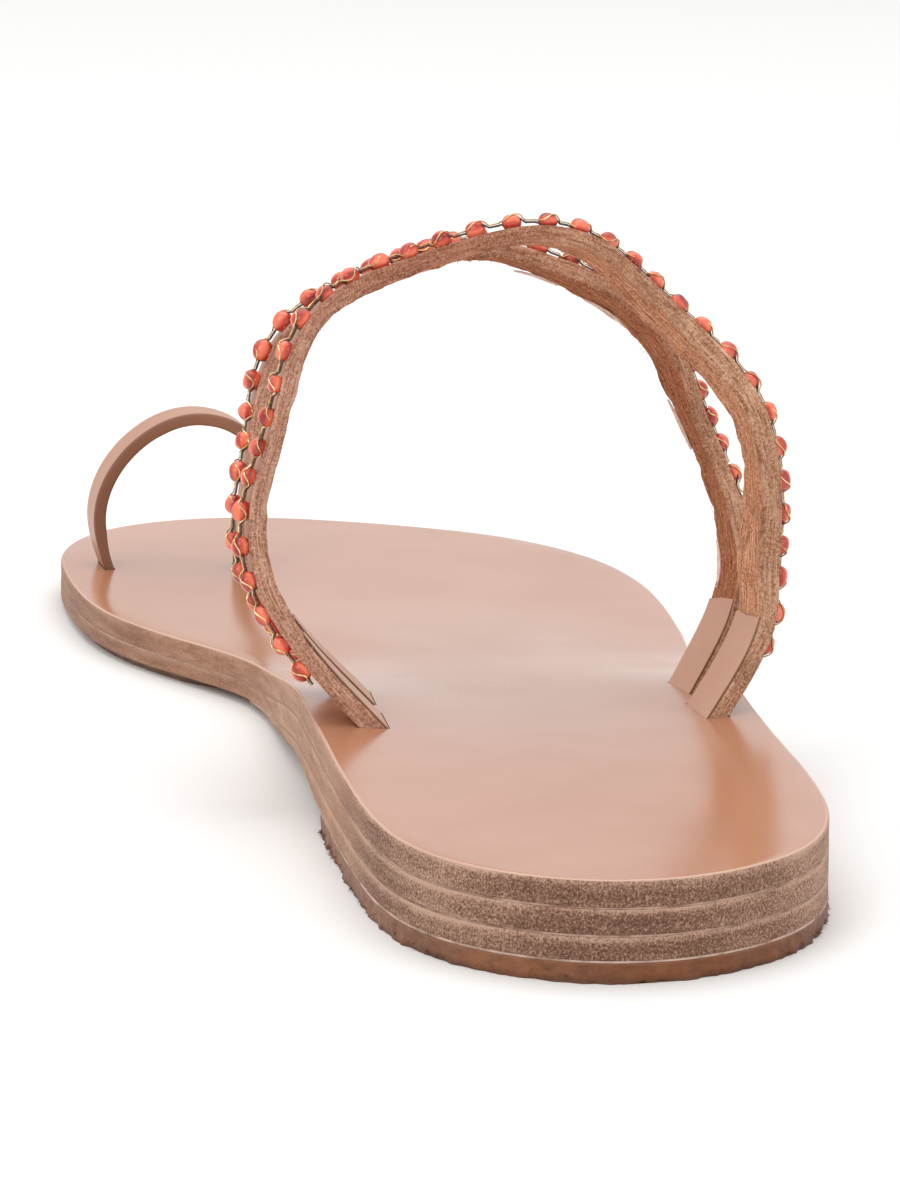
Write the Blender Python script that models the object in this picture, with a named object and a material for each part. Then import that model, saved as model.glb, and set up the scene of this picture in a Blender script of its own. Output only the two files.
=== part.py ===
"""Flat leather sandal for the right foot.

A stacked leather sole carries two wavy instep strips that meet and part again,
a toe loop, lining tabs at the feet of the strips, and two rows of strung beads.
+Y points to the toe, +X to the little-toe side, +Z up, and the floor is z = 0.
"""
import math

import bmesh
import bpy
import numpy as np

MM = 0.001

# Sizes in millimetres
LENGTH = 250.0
FIT_GAP = 0.3
BACK = -1.0
FRONT = 1.0

# Fineness of the curves and solids
OUTLINE_POINTS = 3000
OUTLINE_OVERLAP = 5
RIBBON_POINTS = 600
RIBBON_STEP = 0.05
STATIONS = 60
SHORT_LAYER_EXTRA_STATIONS = 8
TIP_HALF_WIDTH = 0.02
SMOOTH_DEGREES = 35.0

# Sole plan, one row per section from heel to toe: distance from the heel tip,
# edge on the big-toe side, edge on the little-toe side
HEEL_TIP_X = -0.8
TOE_TIP_X = -18.3
PLAN_COLUMNS = ("y", "medial", "lateral")
PLAN_ROWS = (
    (12.0, -20.4, 24.0),
    (40.0, -27.0, 33.2),
    (70.0, -26.8, 34.2),
    (100.0, -26.0, 35.3),
    (130.0, -25.2, 37.0),
    (148.0, -26.4, 38.9),
    (165.0, -34.6, 40.7),
    (185.0, -43.2, 41.7),
    (210.0, -45.6, 38.4),
    (230.0, -43.4, 26.7),
    (243.0, -35.4, 7.7),
)

# Sole heights, one row per section: top of the insole, underside of the midsole,
# underside of the heel lift
HEIGHT_COLUMNS = ("y", "top", "midsole_under", "lift_under")
HEIGHT_ROWS = (
    (0.0, 13.1, 6.2, 2.9),
    (60.0, 13.1, 6.2, 2.9),
    (78.0, 13.1, 6.2, 2.95),
    (92.0, 13.1, 6.2, 3.8),
    (105.0, 12.8, 5.9, 4.3),
    (115.0, 11.6, 4.8, 3.4),
    (125.0, 9.9, 3.4, 2.1),
    (135.0, 8.2, 2.2, 1.0),
    (145.0, 7.1, 1.5, 0.5),
    (155.0, 6.8, 1.3, 0.4),
    (200.0, 6.7, 1.3, 0.4),
    (250.0, 6.7, 1.3, 0.4),
)
INSOLE_HEEL_THICKNESS = 3.4
INSOLE_TOE_THICKNESS = 3.1
INSOLE_EDGE_ROUND = 0.6
LAYER_EDGE_ROUND = 0.25
MIDSOLE_FLARE = 0.2
LIFT_FLARE = 0.3
LIFT_END_Y = 147.0
HEEL_CAP_FLARE = 0.1
HEEL_CAP_END_Y = 76.0
HEEL_CAP_TOP = 2.6
TREAD_TOP = 1.0

# Forefoot tread, one row per section: how far its edge lies inside the sole edge
TREAD_STEPS = 26
TREAD_COLUMNS = ("y", "inset")
TREAD_ROWS = (
    (150.0, 9.0),
    (157.0, 4.0),
    (165.0, 0.6),
    (180.0, 0.4),
    (193.0, 0.5),
    (198.0, 2.6),
    (210.0, 5.5),
    (222.0, 8.0),
    (232.0, 11.0),
)

# A point under the instep arch and one under the toe loop
UNDER_INSTEP = (0.0, 100.0, 40.0)
UNDER_LOOP = (-28.0, 214.0, 15.0)

# Instep band, one row per section from the little-toe foot over the arch to the
# big-toe foot: middle of the band, and how its cross direction leans sideways
# and upwards for each millimetre towards the toe
BAND_COLUMNS = ("x", "y", "z", "lean_x", "lean_z")
BAND_ROWS = (
    (27.9, 91.5, 13.0, -0.07, 0.0),
    (34.9, 95.3, 25.2, -0.10, -0.05),
    (35.8, 99.8, 39.3, -0.08, -0.13),
    (32.2, 103.8, 52.2, -0.10, -0.23),
    (25.5, 106.9, 61.8, -0.10, -0.28),
    (15.2, 109.6, 70.6, -0.07, -0.28),
    (1.6, 110.6, 73.8, -0.03, -0.23),
    (-12.9, 109.5, 70.1, 0.02, -0.21),
    (-25.0, 107.1, 62.5, 0.05, -0.20),
    (-30.0, 103.0, 49.6, 0.05, -0.16),
    (-33.0, 98.8, 36.3, 0.07, -0.11),
    (-28.0, 94.9, 23.7, 0.05, -0.05),
    (-18.7, 91.5, 13.0, 0.03, 0.0),
)
STRIP_THICKNESS = 2.2
STRIP_CORNER = 0.4
STRIP_STEPS = 92
STRIP_TAIL = 2.5
BACK_STRIP_OUT = 0.2
FRONT_STRIP_OUT = -0.25

# Wave of the strips: where it starts, its pitch, and at each foot, meeting point
# and eye the half distance between the strips and the half width of a strip
WAVE_START = 19.0
WAVE_PITCH = 40.0
WAVE_COUNT = 3
WIDTH_EASE = 10.0
FOOT_HALF_SPACING = 5.8
BACK_FOOT_FORWARD = 0.8
FRONT_FOOT_FORWARD = 4.0
MEETING_HALF_SPACING = 4.4
EYE_HALF_SPACING = 12.6
FOOT_HALF_WIDTH = 4.9
MEETING_HALF_WIDTH = 4.8
EYE_HALF_WIDTH = 3.8

# Lining tabs on the inner faces at the feet of the strips
LINING_LENGTH = 13.5
LINING_HALF_WIDTH = 4.4
LINING_THICKNESS = 0.8
LINING_CORNER = 0.2
LINING_TAIL = 1.6
LINING_STEPS = 7

# Slots for the strip feet, wide enough for the lining tabs, reach this far below and above the insole top
SLOT_BELOW = 7.0
SLOT_ABOVE = 4.0
SLOT_STEPS = 4

# Toe loop, one row per section from the big-toe side foot over the arch
LOOP_COLUMNS = ("x", "y", "z")
LOOP_ROWS = (
    (-38.7, 216.0, 6.6),
    (-40.5, 216.4, 14.3),
    (-38.4, 216.0, 21.9),
    (-33.2, 214.9, 27.8),
    (-26.0, 213.6, 30.7),
    (-18.6, 212.1, 28.7),
    (-15.7, 211.5, 22.3),
    (-17.6, 211.9, 14.5),
    (-18.3, 212.1, 6.6),
)
LOOP_LEAN_X = -0.06
LOOP_WIDTH = 6.5
LOOP_THICKNESS = 1.4
LOOP_CORNER = 0.3
LOOP_STEPS = 40
LOOP_TAIL = 2.3

# Bead rows: clear run of strip at the little-toe and big-toe feet, distance of the row
# from the back edge of its strip there, and where and how full the shoulder of a bead is
BEAD_RADIUS = 1.1
BEAD_LENGTH = 2.5
BEAD_PITCH = 4.25
BEAD_CORD_RADIUS = 0.35
BEAD_SIDES = 5
BEAD_FREE_LATERAL = 9.2
BEAD_FREE_MEDIAL = 5.8
BEAD_INSET_LATERAL = 3.4
BEAD_INSET_MEDIAL = 0.9
BEAD_SHOULDER_AT = 0.7
BEAD_SHOULDER_SIZE = 0.78
BEAD_SMOOTH_DEGREES = 80.0

# Colours and roughness
INSOLE_LOOK = ((0.62, 0.40, 0.29), 0.38)
EDGE_LOOK = ((0.33, 0.22, 0.16), 0.70)
RUBBER_LOOK = ((0.30, 0.19, 0.12), 0.75)
STRAP_LOOK = ((0.42, 0.22, 0.15), 0.80)
LINING_LOOK = ((0.62, 0.42, 0.32), 0.55)
BEAD_LOOK = ((0.86, 0.20, 0.10), 0.30)


def column(names, rows, name):
    """One named column of a table as an array."""
    return np.array([row[names.index(name)] for row in rows])


def smooth_curve(knots, values, at):
    """Natural cubic curve through the values at the knots."""
    count = len(knots)
    step = np.diff(knots)
    slope = np.diff(values, axis=0) / step.reshape((-1,) + (1,) * (values.ndim - 1))
    system = np.eye(count)
    right = np.zeros(values.shape)
    for i in range(1, count - 1):
        system[i, i - 1:i + 2] = (step[i - 1], 2.0 * (step[i - 1] + step[i]), step[i])
        right[i] = 6.0 * (slope[i] - slope[i - 1])
    bend = np.linalg.solve(system, right)
    span = np.clip(np.searchsorted(knots, at) - 1, 0, count - 2)
    shape = (-1,) + (1,) * (values.ndim - 1)
    along = (at - knots[span]).reshape(shape)
    width = step[span].reshape(shape)
    first = slope[span] - width * (2.0 * bend[span] + bend[span + 1]) / 6.0
    cubic = (bend[span + 1] - bend[span]) / (6.0 * width)
    return values[span] + first * along + bend[span] / 2.0 * along ** 2 + cubic * along ** 3


def smooth_step(share):
    """Eased run from nought to one."""
    share = np.clip(share, 0.0, 1.0)
    return share * share * (3.0 - 2.0 * share)


def unit(vectors):
    """The vectors scaled to length one."""
    return vectors / np.linalg.norm(vectors, axis=1)[:, None]


def sole_outline():
    """Dense closed outline of the sole, counter-clockwise from the heel tip."""
    y = column(PLAN_COLUMNS, PLAN_ROWS, "y")
    lateral = np.stack([column(PLAN_COLUMNS, PLAN_ROWS, "lateral"), y], axis=1)
    medial = np.stack([column(PLAN_COLUMNS, PLAN_ROWS, "medial"), y], axis=1)
    loop = np.vstack([[(HEEL_TIP_X, 0.0)], lateral, [(TOE_TIP_X, LENGTH)], medial[::-1]])
    wrapped = np.vstack([loop[-OUTLINE_OVERLAP:], loop, loop[:OUTLINE_OVERLAP + 1]])
    run = np.concatenate([[0.0], np.cumsum(np.linalg.norm(np.diff(wrapped, axis=0), axis=1))])
    first = run[OUTLINE_OVERLAP]
    last = run[OUTLINE_OVERLAP + len(loop)]
    at = np.linspace(first, last, OUTLINE_POINTS, endpoint=False)
    return smooth_curve(run, wrapped, at)


OUTLINE = sole_outline()
SHIFT_X = -0.5 * (OUTLINE[:, 0].min() + OUTLINE[:, 0].max())
SHIFT_Y = -0.5 * (OUTLINE[:, 1].min() + OUTLINE[:, 1].max())


def inset_outline(inset):
    """The sole outline moved inwards by the inset."""
    along = unit(np.roll(OUTLINE, -1, axis=0) - np.roll(OUTLINE, 1, axis=0))
    inward = np.stack([-along[:, 1], along[:, 0]], axis=1)
    return OUTLINE + inward * inset


def sole_edges(inset):
    """The two side edges of an inset outline, each from the heel tip to the toe tip."""
    loop = inset_outline(inset)
    heel = int(np.argmin(loop[:, 1]))
    loop = np.roll(loop, -heel, axis=0)
    toe = int(np.argmax(loop[:, 1]))
    lateral = loop[:toe + 1]
    medial = np.vstack([loop[toe:], loop[:1]])[::-1]
    return lateral, medial


def height(name, y):
    """A named sole height at each y."""
    knots = column(HEIGHT_COLUMNS, HEIGHT_ROWS, "y")
    return smooth_curve(knots, column(HEIGHT_COLUMNS, HEIGHT_ROWS, name), np.asarray(y, float))


def insole_under(y):
    """Underside of the insole, which thins towards the toe."""
    thinning = INSOLE_HEEL_THICKNESS - INSOLE_TOE_THICKNESS
    thickness = INSOLE_HEEL_THICKNESS - thinning * np.asarray(y) / LENGTH
    return height("top", y) - thickness


def midsole_top(y):
    """Top of the midsole, a fit gap under the insole."""
    return insole_under(y) - FIT_GAP


def lift_top(y):
    """Top of the heel lift, a fit gap under the midsole."""
    return height("midsole_under", y) - FIT_GAP


def level(z):
    """A flat height."""
    return lambda y: np.full(np.shape(y), z)


def make_material(name, look):
    """A plain Principled material."""
    colour, roughness = look
    material = bpy.data.materials.new(name)
    material.use_nodes = True
    shader = material.node_tree.nodes["Principled BSDF"]
    shader.inputs["Base Color"].default_value = (*colour, 1.0)
    shader.inputs["Roughness"].default_value = roughness
    shader.inputs["Metallic"].default_value = 0.0
    return material


def make_object(name, points, faces, look, smooth_degrees=SMOOTH_DEGREES):
    """A named closed mesh object from points in millimetres."""
    mesh = bpy.data.meshes.new(name)
    moved = (np.asarray(points) + (SHIFT_X, SHIFT_Y, 0.0)) * MM
    mesh.from_pydata(moved.tolist(), [], faces)
    work = bmesh.new()
    work.from_mesh(mesh)
    bmesh.ops.triangulate(work, faces=work.faces[:])
    bmesh.ops.recalc_face_normals(work, faces=work.faces[:])
    work.to_mesh(mesh)
    work.free()
    mesh.polygons.foreach_set("use_smooth", [True] * len(mesh.polygons))
    mesh.set_sharp_from_angle(angle=math.radians(smooth_degrees))
    if look is not None:
        mesh.materials.append(make_material(name + "_surface", look))
    thing = bpy.data.objects.new(name, mesh)
    bpy.context.scene.collection.objects.link(thing)
    return thing


def hide_cutter(cutter):
    """Keep a cutting guide out of the finished part."""
    cutter.hide_render = True
    cutter.display_type = "WIRE"


def combine(target, other, operation):
    """Join or cut one object with another."""
    modifier = target.modifiers.new(operation.title() + "_" + other.name, "BOOLEAN")
    modifier.operation = operation
    modifier.solver = "EXACT"
    modifier.object = other
    hide_cutter(other)


def ladder_ring(rails, y, z):
    """Points of one ring: up the lateral rail and back down the medial rail."""
    lateral_x, medial_x = rails
    lateral = np.stack([lateral_x, y, z], axis=1)
    medial = np.stack([medial_x, y, z], axis=1)
    return np.vstack([lateral, medial[::-1]])


def ladder_faces(count, ring_count):
    """Faces of a stack of rings, with ladders closing the first and last ring."""
    size = 2 * count
    faces = []
    for ring in range(ring_count - 1):
        for i in range(size):
            j = (i + 1) % size
            low = ring * size
            high = low + size
            faces.append((low + i, low + j, high + j, high + i))
    for base in (0, (ring_count - 1) * size):
        for i in range(count - 1):
            faces.append((base + i, base + i + 1, base + size - 2 - i, base + size - 1 - i))
    return faces


def sole_layer(name, under, top, end_y, inset, edge_round, under_round, look):
    """A sole layer between two height profiles, cut square at end_y or run to the toe."""
    rings = []
    steps = STATIONS
    if end_y is not None:
        steps = int(STATIONS * end_y / LENGTH) + SHORT_LAYER_EXTRA_STATIONS
    levels = (
        (under_round, 0.0, under),
        (0.0, under_round, under),
        (0.0, -edge_round, top),
        (edge_round, 0.0, top),
    )
    for extra, rise, profile in levels:
        lateral, medial = sole_edges(inset + extra)
        first = lateral[0, 1]
        last = lateral[-1, 1]
        if end_y is None:
            share = 0.5 * (1.0 - np.cos(np.pi * np.linspace(0.0, 1.0, steps)))
        else:
            share = 1.0 - np.cos(0.5 * np.pi * np.linspace(0.0, 1.0, steps))
            last = end_y
        y = first + (last - first) * share
        lateral_x = np.interp(y, lateral[:, 1], lateral[:, 0]) + TIP_HALF_WIDTH
        medial_x = np.interp(y, medial[:, 1], medial[:, 0]) - TIP_HALF_WIDTH
        rings.append(ladder_ring((lateral_x, medial_x), y, profile(y) + rise))
    return make_object(name, np.vstack(rings), ladder_faces(steps, len(rings)), look)


def forefoot_tread():
    """Thin rubber pad under the ball of the foot, flush with the sole edge at its widest."""
    knots = column(TREAD_COLUMNS, TREAD_ROWS, "y")
    y = np.linspace(knots[0], knots[-1], TREAD_STEPS)
    inset = np.interp(y, knots, column(TREAD_COLUMNS, TREAD_ROWS, "inset"))
    lateral, medial = sole_edges(0.0)
    lateral_x = np.interp(y, lateral[:, 1], lateral[:, 0]) - inset
    medial_x = np.interp(y, medial[:, 1], medial[:, 0]) + inset
    rails = (lateral_x, medial_x)
    rings = [ladder_ring(rails, y, np.full(TREAD_STEPS, z)) for z in (0.0, TREAD_TOP)]
    faces = ladder_faces(TREAD_STEPS, len(rings))
    return make_object("forefoot_tread", np.vstack(rings), faces, RUBBER_LOOK)


class Ribbon:
    """A bent strip surface: a middle line and a cross direction at each distance along it."""

    def __init__(self, middle, lean):
        rows = np.linspace(0.0, 1.0, len(middle))
        fine = np.linspace(0.0, 1.0, RIBBON_POINTS)
        line = smooth_curve(rows, middle, fine)
        cross = unit(smooth_curve(rows, lean, fine))
        self.run = np.concatenate([[0.0], np.cumsum(np.linalg.norm(np.diff(line, axis=0), axis=1))])
        self.line = line
        self.cross = cross
        self.length = self.run[-1]

    def middle_at(self, s):
        """Middle line, carried on straight beyond both ends."""
        inside = np.clip(s, 0.0, self.length)
        point = np.stack([np.interp(inside, self.run, self.line[:, k]) for k in range(3)], axis=1)
        first = self.line[1] - self.line[0]
        last = self.line[-1] - self.line[-2]
        point += np.minimum(s, 0.0)[:, None] * first / np.linalg.norm(first)
        point += np.maximum(s - self.length, 0.0)[:, None] * last / np.linalg.norm(last)
        return point

    def cross_at(self, s):
        """Cross direction."""
        inside = np.clip(s, 0.0, self.length)
        return unit(np.stack([np.interp(inside, self.run, self.cross[:, k]) for k in range(3)], axis=1))

    def point(self, s, across, out):
        """Point at distance s, across towards the toe and out from the surface."""
        here = self.middle_at(s) + self.cross_at(s) * across[:, None]
        back = s - RIBBON_STEP
        ahead = s + RIBBON_STEP
        before = self.middle_at(back) + self.cross_at(back) * across[:, None]
        after = self.middle_at(ahead) + self.cross_at(ahead) * across[:, None]
        outward = unit(np.cross(self.cross_at(s), after - before)) * self.side
        return here + outward * np.asarray(out)[:, None]

    def set_outside(self, inner_point):
        """Make positive out point away from a point under the arch."""
        self.side = 1.0
        s = np.array([0.5 * self.length])
        zero = np.zeros(1)
        step = self.point(s, zero, np.ones(1)) - self.point(s, zero, zero)
        away = self.point(s, zero, zero) - np.asarray(inner_point)
        self.side = math.copysign(1.0, float((step * away).sum()))


def strip_solid(name, ribbon, s, centre, half_width, low, high, corner, look):
    """A flat strip along a ribbon, with its four long corners taken off."""
    inner = half_width - corner
    section = (
        (-inner, low), (inner, low), (half_width, low + corner), (half_width, high - corner),
        (inner, high), (-inner, high), (-half_width, high - corner), (-half_width, low + corner),
    )
    size = len(section)
    columns = [ribbon.point(s, centre + across, np.full(len(s), out)) for across, out in section]
    points = np.stack(columns, axis=1).reshape(-1, 3)
    faces = []
    for i in range(len(s) - 1):
        for k in range(size):
            m = (k + 1) % size
            faces.append((i * size + k, i * size + m, (i + 1) * size + m, (i + 1) * size + k))
    faces.append(tuple(range(size)))
    faces.append(tuple(range((len(s) - 1) * size, len(s) * size)))
    return make_object(name, points, faces, look)


def make_band():
    """The curved surface on which both instep strips lie."""
    middle = np.stack([column(BAND_COLUMNS, BAND_ROWS, name) for name in ("x", "y", "z")], axis=1)
    lean_x = column(BAND_COLUMNS, BAND_ROWS, "lean_x")
    lean_z = column(BAND_COLUMNS, BAND_ROWS, "lean_z")
    band = Ribbon(middle, np.stack([lean_x, np.ones(len(lean_x)), lean_z], axis=1))
    band.set_outside(UNDER_INSTEP)
    return band


def make_loop_ribbon():
    """The curved surface of the toe loop."""
    middle = np.stack([column(LOOP_COLUMNS, LOOP_ROWS, name) for name in LOOP_COLUMNS], axis=1)
    lean = np.tile((LOOP_LEAN_X, 1.0, 0.0), (len(middle), 1))
    ribbon = Ribbon(middle, lean)
    ribbon.set_outside(UNDER_LOOP)
    return ribbon


def strip_wave(s, length, side):
    """Middle and half width of a strip: the two meet and part along the band, with their feet apart."""
    wave_end = WAVE_START + WAVE_PITCH * WAVE_COUNT
    opening = 0.5 * (1.0 - np.cos(2.0 * np.pi * (s - WAVE_START) / WAVE_PITCH))
    opening = np.where((s > WAVE_START) & (s < wave_end), opening, 0.0)
    from_foot = np.where(s > 0.5 * length, length - s, s)
    foot_run = np.where(s > 0.5 * length, length - wave_end, WAVE_START)
    closing = smooth_step((from_foot - LINING_LENGTH) / (foot_run - LINING_LENGTH))
    narrowing = smooth_step((from_foot - LINING_LENGTH) / WIDTH_EASE)
    spacing = FOOT_HALF_SPACING + (MEETING_HALF_SPACING - FOOT_HALF_SPACING) * closing
    spacing = spacing + (EYE_HALF_SPACING - MEETING_HALF_SPACING) * opening
    foot_forward = BACK_FOOT_FORWARD if side == BACK else FRONT_FOOT_FORWARD
    middle = side * spacing + foot_forward * (1.0 - smooth_step(from_foot / foot_run))
    width = FOOT_HALF_WIDTH + (MEETING_HALF_WIDTH - FOOT_HALF_WIDTH) * narrowing
    width = width + (EYE_HALF_WIDTH - MEETING_HALF_WIDTH) * opening
    return middle, width


def strip_layers(side):
    """Inner and outer height of a strip: the back strip lies a little outside the front one."""
    middle = BACK_STRIP_OUT if side == BACK else FRONT_STRIP_OUT
    return middle - 0.5 * STRIP_THICKNESS, middle + 0.5 * STRIP_THICKNESS


def lining_layers(side):
    """Inner and outer height of a lining tab, a fit gap inside its strip."""
    high = strip_layers(side)[0] - FIT_GAP
    return high - LINING_THICKNESS, high


def instep_strap(band):
    """Both wavy strips, joined into one upper where they meet."""
    s = np.linspace(-STRIP_TAIL, band.length + STRIP_TAIL, STRIP_STEPS)
    strips = []
    for name, side in (("instep_strap", BACK), ("strip_front", FRONT)):
        low, high = strip_layers(side)
        middle, width = strip_wave(s, band.length, side)
        strip = strip_solid(name, band, s, middle, width, low, high, STRIP_CORNER, STRAP_LOOK)
        strips.append(strip)
    combine(strips[0], strips[1], "UNION")
    return strips[0]


def cut_slot(insole, name, ribbon, s, centre, half_width, low, high):
    """Cut the slot for one strip foot through the insole."""
    cutter = strip_solid(name, ribbon, s, centre, half_width + FIT_GAP, low - FIT_GAP, high + FIT_GAP,
                         FIT_GAP, None)
    combine(insole, cutter, "DIFFERENCE")


def foot_runs(ribbon, below, above, steps):
    """Distances along a ribbon through the sole at its first and last foot."""
    first = np.linspace(-below, above, steps)
    last = np.linspace(ribbon.length - above, ribbon.length + below, steps)
    return first, last


def cut_slots(insole, band, loop):
    """Slots for the four strip feet and the two toe loop feet."""
    for end, s in zip(("lateral", "medial"), foot_runs(band, SLOT_BELOW, SLOT_ABOVE, SLOT_STEPS)):
        for place, side in (("back", BACK), ("front", FRONT)):
            middle, width = strip_wave(s, band.length, side)
            low = lining_layers(side)[0]
            high = strip_layers(side)[1]
            cut_slot(insole, "slot_%s_%s" % (end, place), band, s, middle, width, low, high)
    for end, s in zip(("outer", "inner"), foot_runs(loop, SLOT_BELOW, SLOT_ABOVE, SLOT_STEPS)):
        half_width = np.full(len(s), 0.5 * LOOP_WIDTH)
        cut_slot(insole, "slot_loop_" + end, loop, s, np.zeros(len(s)), half_width,
                 -0.5 * LOOP_THICKNESS, 0.5 * LOOP_THICKNESS)


def lining_tabs(band):
    """Smooth leather tabs on the inner faces at the feet of the strips."""
    for end, s in zip(("lateral", "medial"), foot_runs(band, LINING_TAIL, LINING_LENGTH, LINING_STEPS)):
        half_width = np.full(len(s), LINING_HALF_WIDTH)
        for place, side in (("back", BACK), ("front", FRONT)):
            low, high = lining_layers(side)
            middle = strip_wave(s, band.length, side)[0]
            strip_solid("lining_%s_%s" % (end, place), band, s, middle, half_width,
                        low, high, LINING_CORNER, LINING_LOOK)


def toe_loop(loop):
    """Narrow strip that arches over the big toe."""
    s = np.linspace(-LOOP_TAIL, loop.length + LOOP_TAIL, LOOP_STEPS)
    half_width = np.full(len(s), 0.5 * LOOP_WIDTH)
    return strip_solid("toe_loop", loop, s, np.zeros(len(s)), half_width, -0.5 * LOOP_THICKNESS,
                       0.5 * LOOP_THICKNESS, LOOP_CORNER, STRAP_LOOK)


def bead_row(name, band, side):
    """Beads on a cord along one strip, as one body whose radius swells at each bead."""
    count = int((band.length - BEAD_FREE_LATERAL - BEAD_FREE_MEDIAL) / BEAD_PITCH)
    half_bead = 0.5 * BEAD_LENGTH
    shoulder = BEAD_SHOULDER_SIZE * BEAD_RADIUS
    swell = (
        (-1.0, BEAD_CORD_RADIUS),
        (-BEAD_SHOULDER_AT, shoulder),
        (0.0, BEAD_RADIUS),
        (BEAD_SHOULDER_AT, shoulder),
        (1.0, BEAD_CORD_RADIUS),
    )
    s = []
    radius = []
    for i in range(count):
        middle = BEAD_FREE_LATERAL + (i + 0.5) * BEAD_PITCH
        for share, size in swell:
            s.append(middle + share * half_bead)
            radius.append(size)
    s = np.array(s)
    radius = np.array(radius)
    strip_middle, width = strip_wave(s, band.length, side)
    inset = BEAD_INSET_LATERAL + (BEAD_INSET_MEDIAL - BEAD_INSET_LATERAL) * s / band.length
    across = strip_middle - width + inset
    out = np.full(len(s), strip_layers(side)[1] + FIT_GAP + BEAD_RADIUS)
    axis = band.point(s, across, out)
    along = unit(np.gradient(axis, axis=0))
    sideways = unit(np.cross(along, band.point(s, across, out + 1.0) - axis))
    upward = np.cross(sideways, along)
    turn = np.linspace(0.0, 2.0 * np.pi, BEAD_SIDES, endpoint=False)
    rings = [axis + radius[:, None] * (math.cos(a) * sideways + math.sin(a) * upward) for a in turn]
    points = np.stack(rings, axis=1).reshape(-1, 3)
    faces = []
    for i in range(len(s) - 1):
        for k in range(BEAD_SIDES):
            m = (k + 1) % BEAD_SIDES
            low = i * BEAD_SIDES
            faces.append((low + k, low + m, low + BEAD_SIDES + m, low + BEAD_SIDES + k))
    faces.append(tuple(range(BEAD_SIDES)))
    faces.append(tuple(range((len(s) - 1) * BEAD_SIDES, len(s) * BEAD_SIDES)))
    return make_object(name, points, faces, BEAD_LOOK, BEAD_SMOOTH_DEGREES)


def build():
    """The whole sandal."""
    for thing in list(bpy.data.objects):
        bpy.data.objects.remove(thing, do_unlink=True)
    band = make_band()
    loop = make_loop_ribbon()
    insole = sole_layer("insole", insole_under, lambda y: height("top", y), None, 0.0,
                        INSOLE_EDGE_ROUND, LAYER_EDGE_ROUND, INSOLE_LOOK)
    cut_slots(insole, band, loop)
    sole_layer("midsole", lambda y: height("midsole_under", y), midsole_top, None, -MIDSOLE_FLARE,
               LAYER_EDGE_ROUND, LAYER_EDGE_ROUND, EDGE_LOOK)
    sole_layer("heel_lift", lambda y: height("lift_under", y), lift_top, LIFT_END_Y, -LIFT_FLARE,
               LAYER_EDGE_ROUND, LAYER_EDGE_ROUND, EDGE_LOOK)
    sole_layer("heel_cap", level(0.0), level(HEEL_CAP_TOP), HEEL_CAP_END_Y, -HEEL_CAP_FLARE,
               LAYER_EDGE_ROUND, LAYER_EDGE_ROUND, RUBBER_LOOK)
    forefoot_tread()
    instep_strap(band)
    lining_tabs(band)
    toe_loop(loop)
    bead_row("bead_row_back", band, BACK)
    bead_row("bead_row_front", band, FRONT)


build()
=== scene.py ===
"""Looks of the flat leather sandal for the right foot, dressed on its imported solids."""

import itertools
import math

import bmesh
import bpy
import numpy as np
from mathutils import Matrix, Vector


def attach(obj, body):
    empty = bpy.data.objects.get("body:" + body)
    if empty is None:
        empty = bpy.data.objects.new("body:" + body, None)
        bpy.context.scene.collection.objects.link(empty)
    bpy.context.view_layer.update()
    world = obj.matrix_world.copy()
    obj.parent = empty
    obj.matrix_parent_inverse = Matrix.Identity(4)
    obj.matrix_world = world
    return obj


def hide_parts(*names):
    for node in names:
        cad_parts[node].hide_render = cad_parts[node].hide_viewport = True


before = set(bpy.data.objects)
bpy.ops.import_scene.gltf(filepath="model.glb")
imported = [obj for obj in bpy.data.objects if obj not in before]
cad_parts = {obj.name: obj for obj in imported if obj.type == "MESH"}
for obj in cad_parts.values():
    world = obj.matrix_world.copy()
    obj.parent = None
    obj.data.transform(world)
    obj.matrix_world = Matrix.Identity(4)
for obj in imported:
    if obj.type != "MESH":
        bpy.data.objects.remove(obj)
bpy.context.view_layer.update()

MM = 0.001
CM_PER_MM = 0.1
BODY = "root"

# Sizes in millimetres, measured from the heel tip as the solids are
LENGTH = 250.0
FIT_GAP = 0.3
BACK = -1.0
FRONT = 1.0

# Sole plan, one row per section: distance from the heel tip, big-toe edge, little-toe edge
HEEL_TIP_X = -0.8
TOE_TIP_X = -18.3
PLAN_ROWS = (
    (12.0, -20.4, 24.0),
    (40.0, -27.0, 33.2),
    (70.0, -26.8, 34.2),
    (100.0, -26.0, 35.3),
    (130.0, -25.2, 37.0),
    (148.0, -26.4, 38.9),
    (165.0, -34.6, 40.7),
    (185.0, -43.2, 41.7),
    (210.0, -45.6, 38.4),
    (230.0, -43.4, 26.7),
    (243.0, -35.4, 7.7),
)
OUTLINE_POINTS = 3000
OUTLINE_OVERLAP = 5

# Sole heights, one row per section: distance from the heel tip, insole top, undersides of midsole and lift
HEIGHT_ROWS = (
    (0.0, 13.1, 6.2, 2.9),
    (60.0, 13.1, 6.2, 2.9),
    (78.0, 13.1, 6.2, 2.95),
    (92.0, 13.1, 6.2, 3.8),
    (105.0, 12.8, 5.9, 4.3),
    (115.0, 11.6, 4.8, 3.4),
    (125.0, 9.9, 3.4, 2.1),
    (135.0, 8.2, 2.2, 1.0),
    (145.0, 7.1, 1.5, 0.5),
    (155.0, 6.8, 1.3, 0.4),
    (200.0, 6.7, 1.3, 0.4),
    (250.0, 6.7, 1.3, 0.4),
)
INSOLE_HEEL_THICKNESS = 3.4
INSOLE_TOE_THICKNESS = 3.1
INSOLE_EDGE_ROUND = 0.48
INSOLE_EASE = 50.0
EASE_SLOPE = 2.4
JOINT_ROUND = 0.05
LIFT_ROUND = 0.04
GLUE_ROUND = 0.03
GLUE_GAP = 0.02
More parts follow.
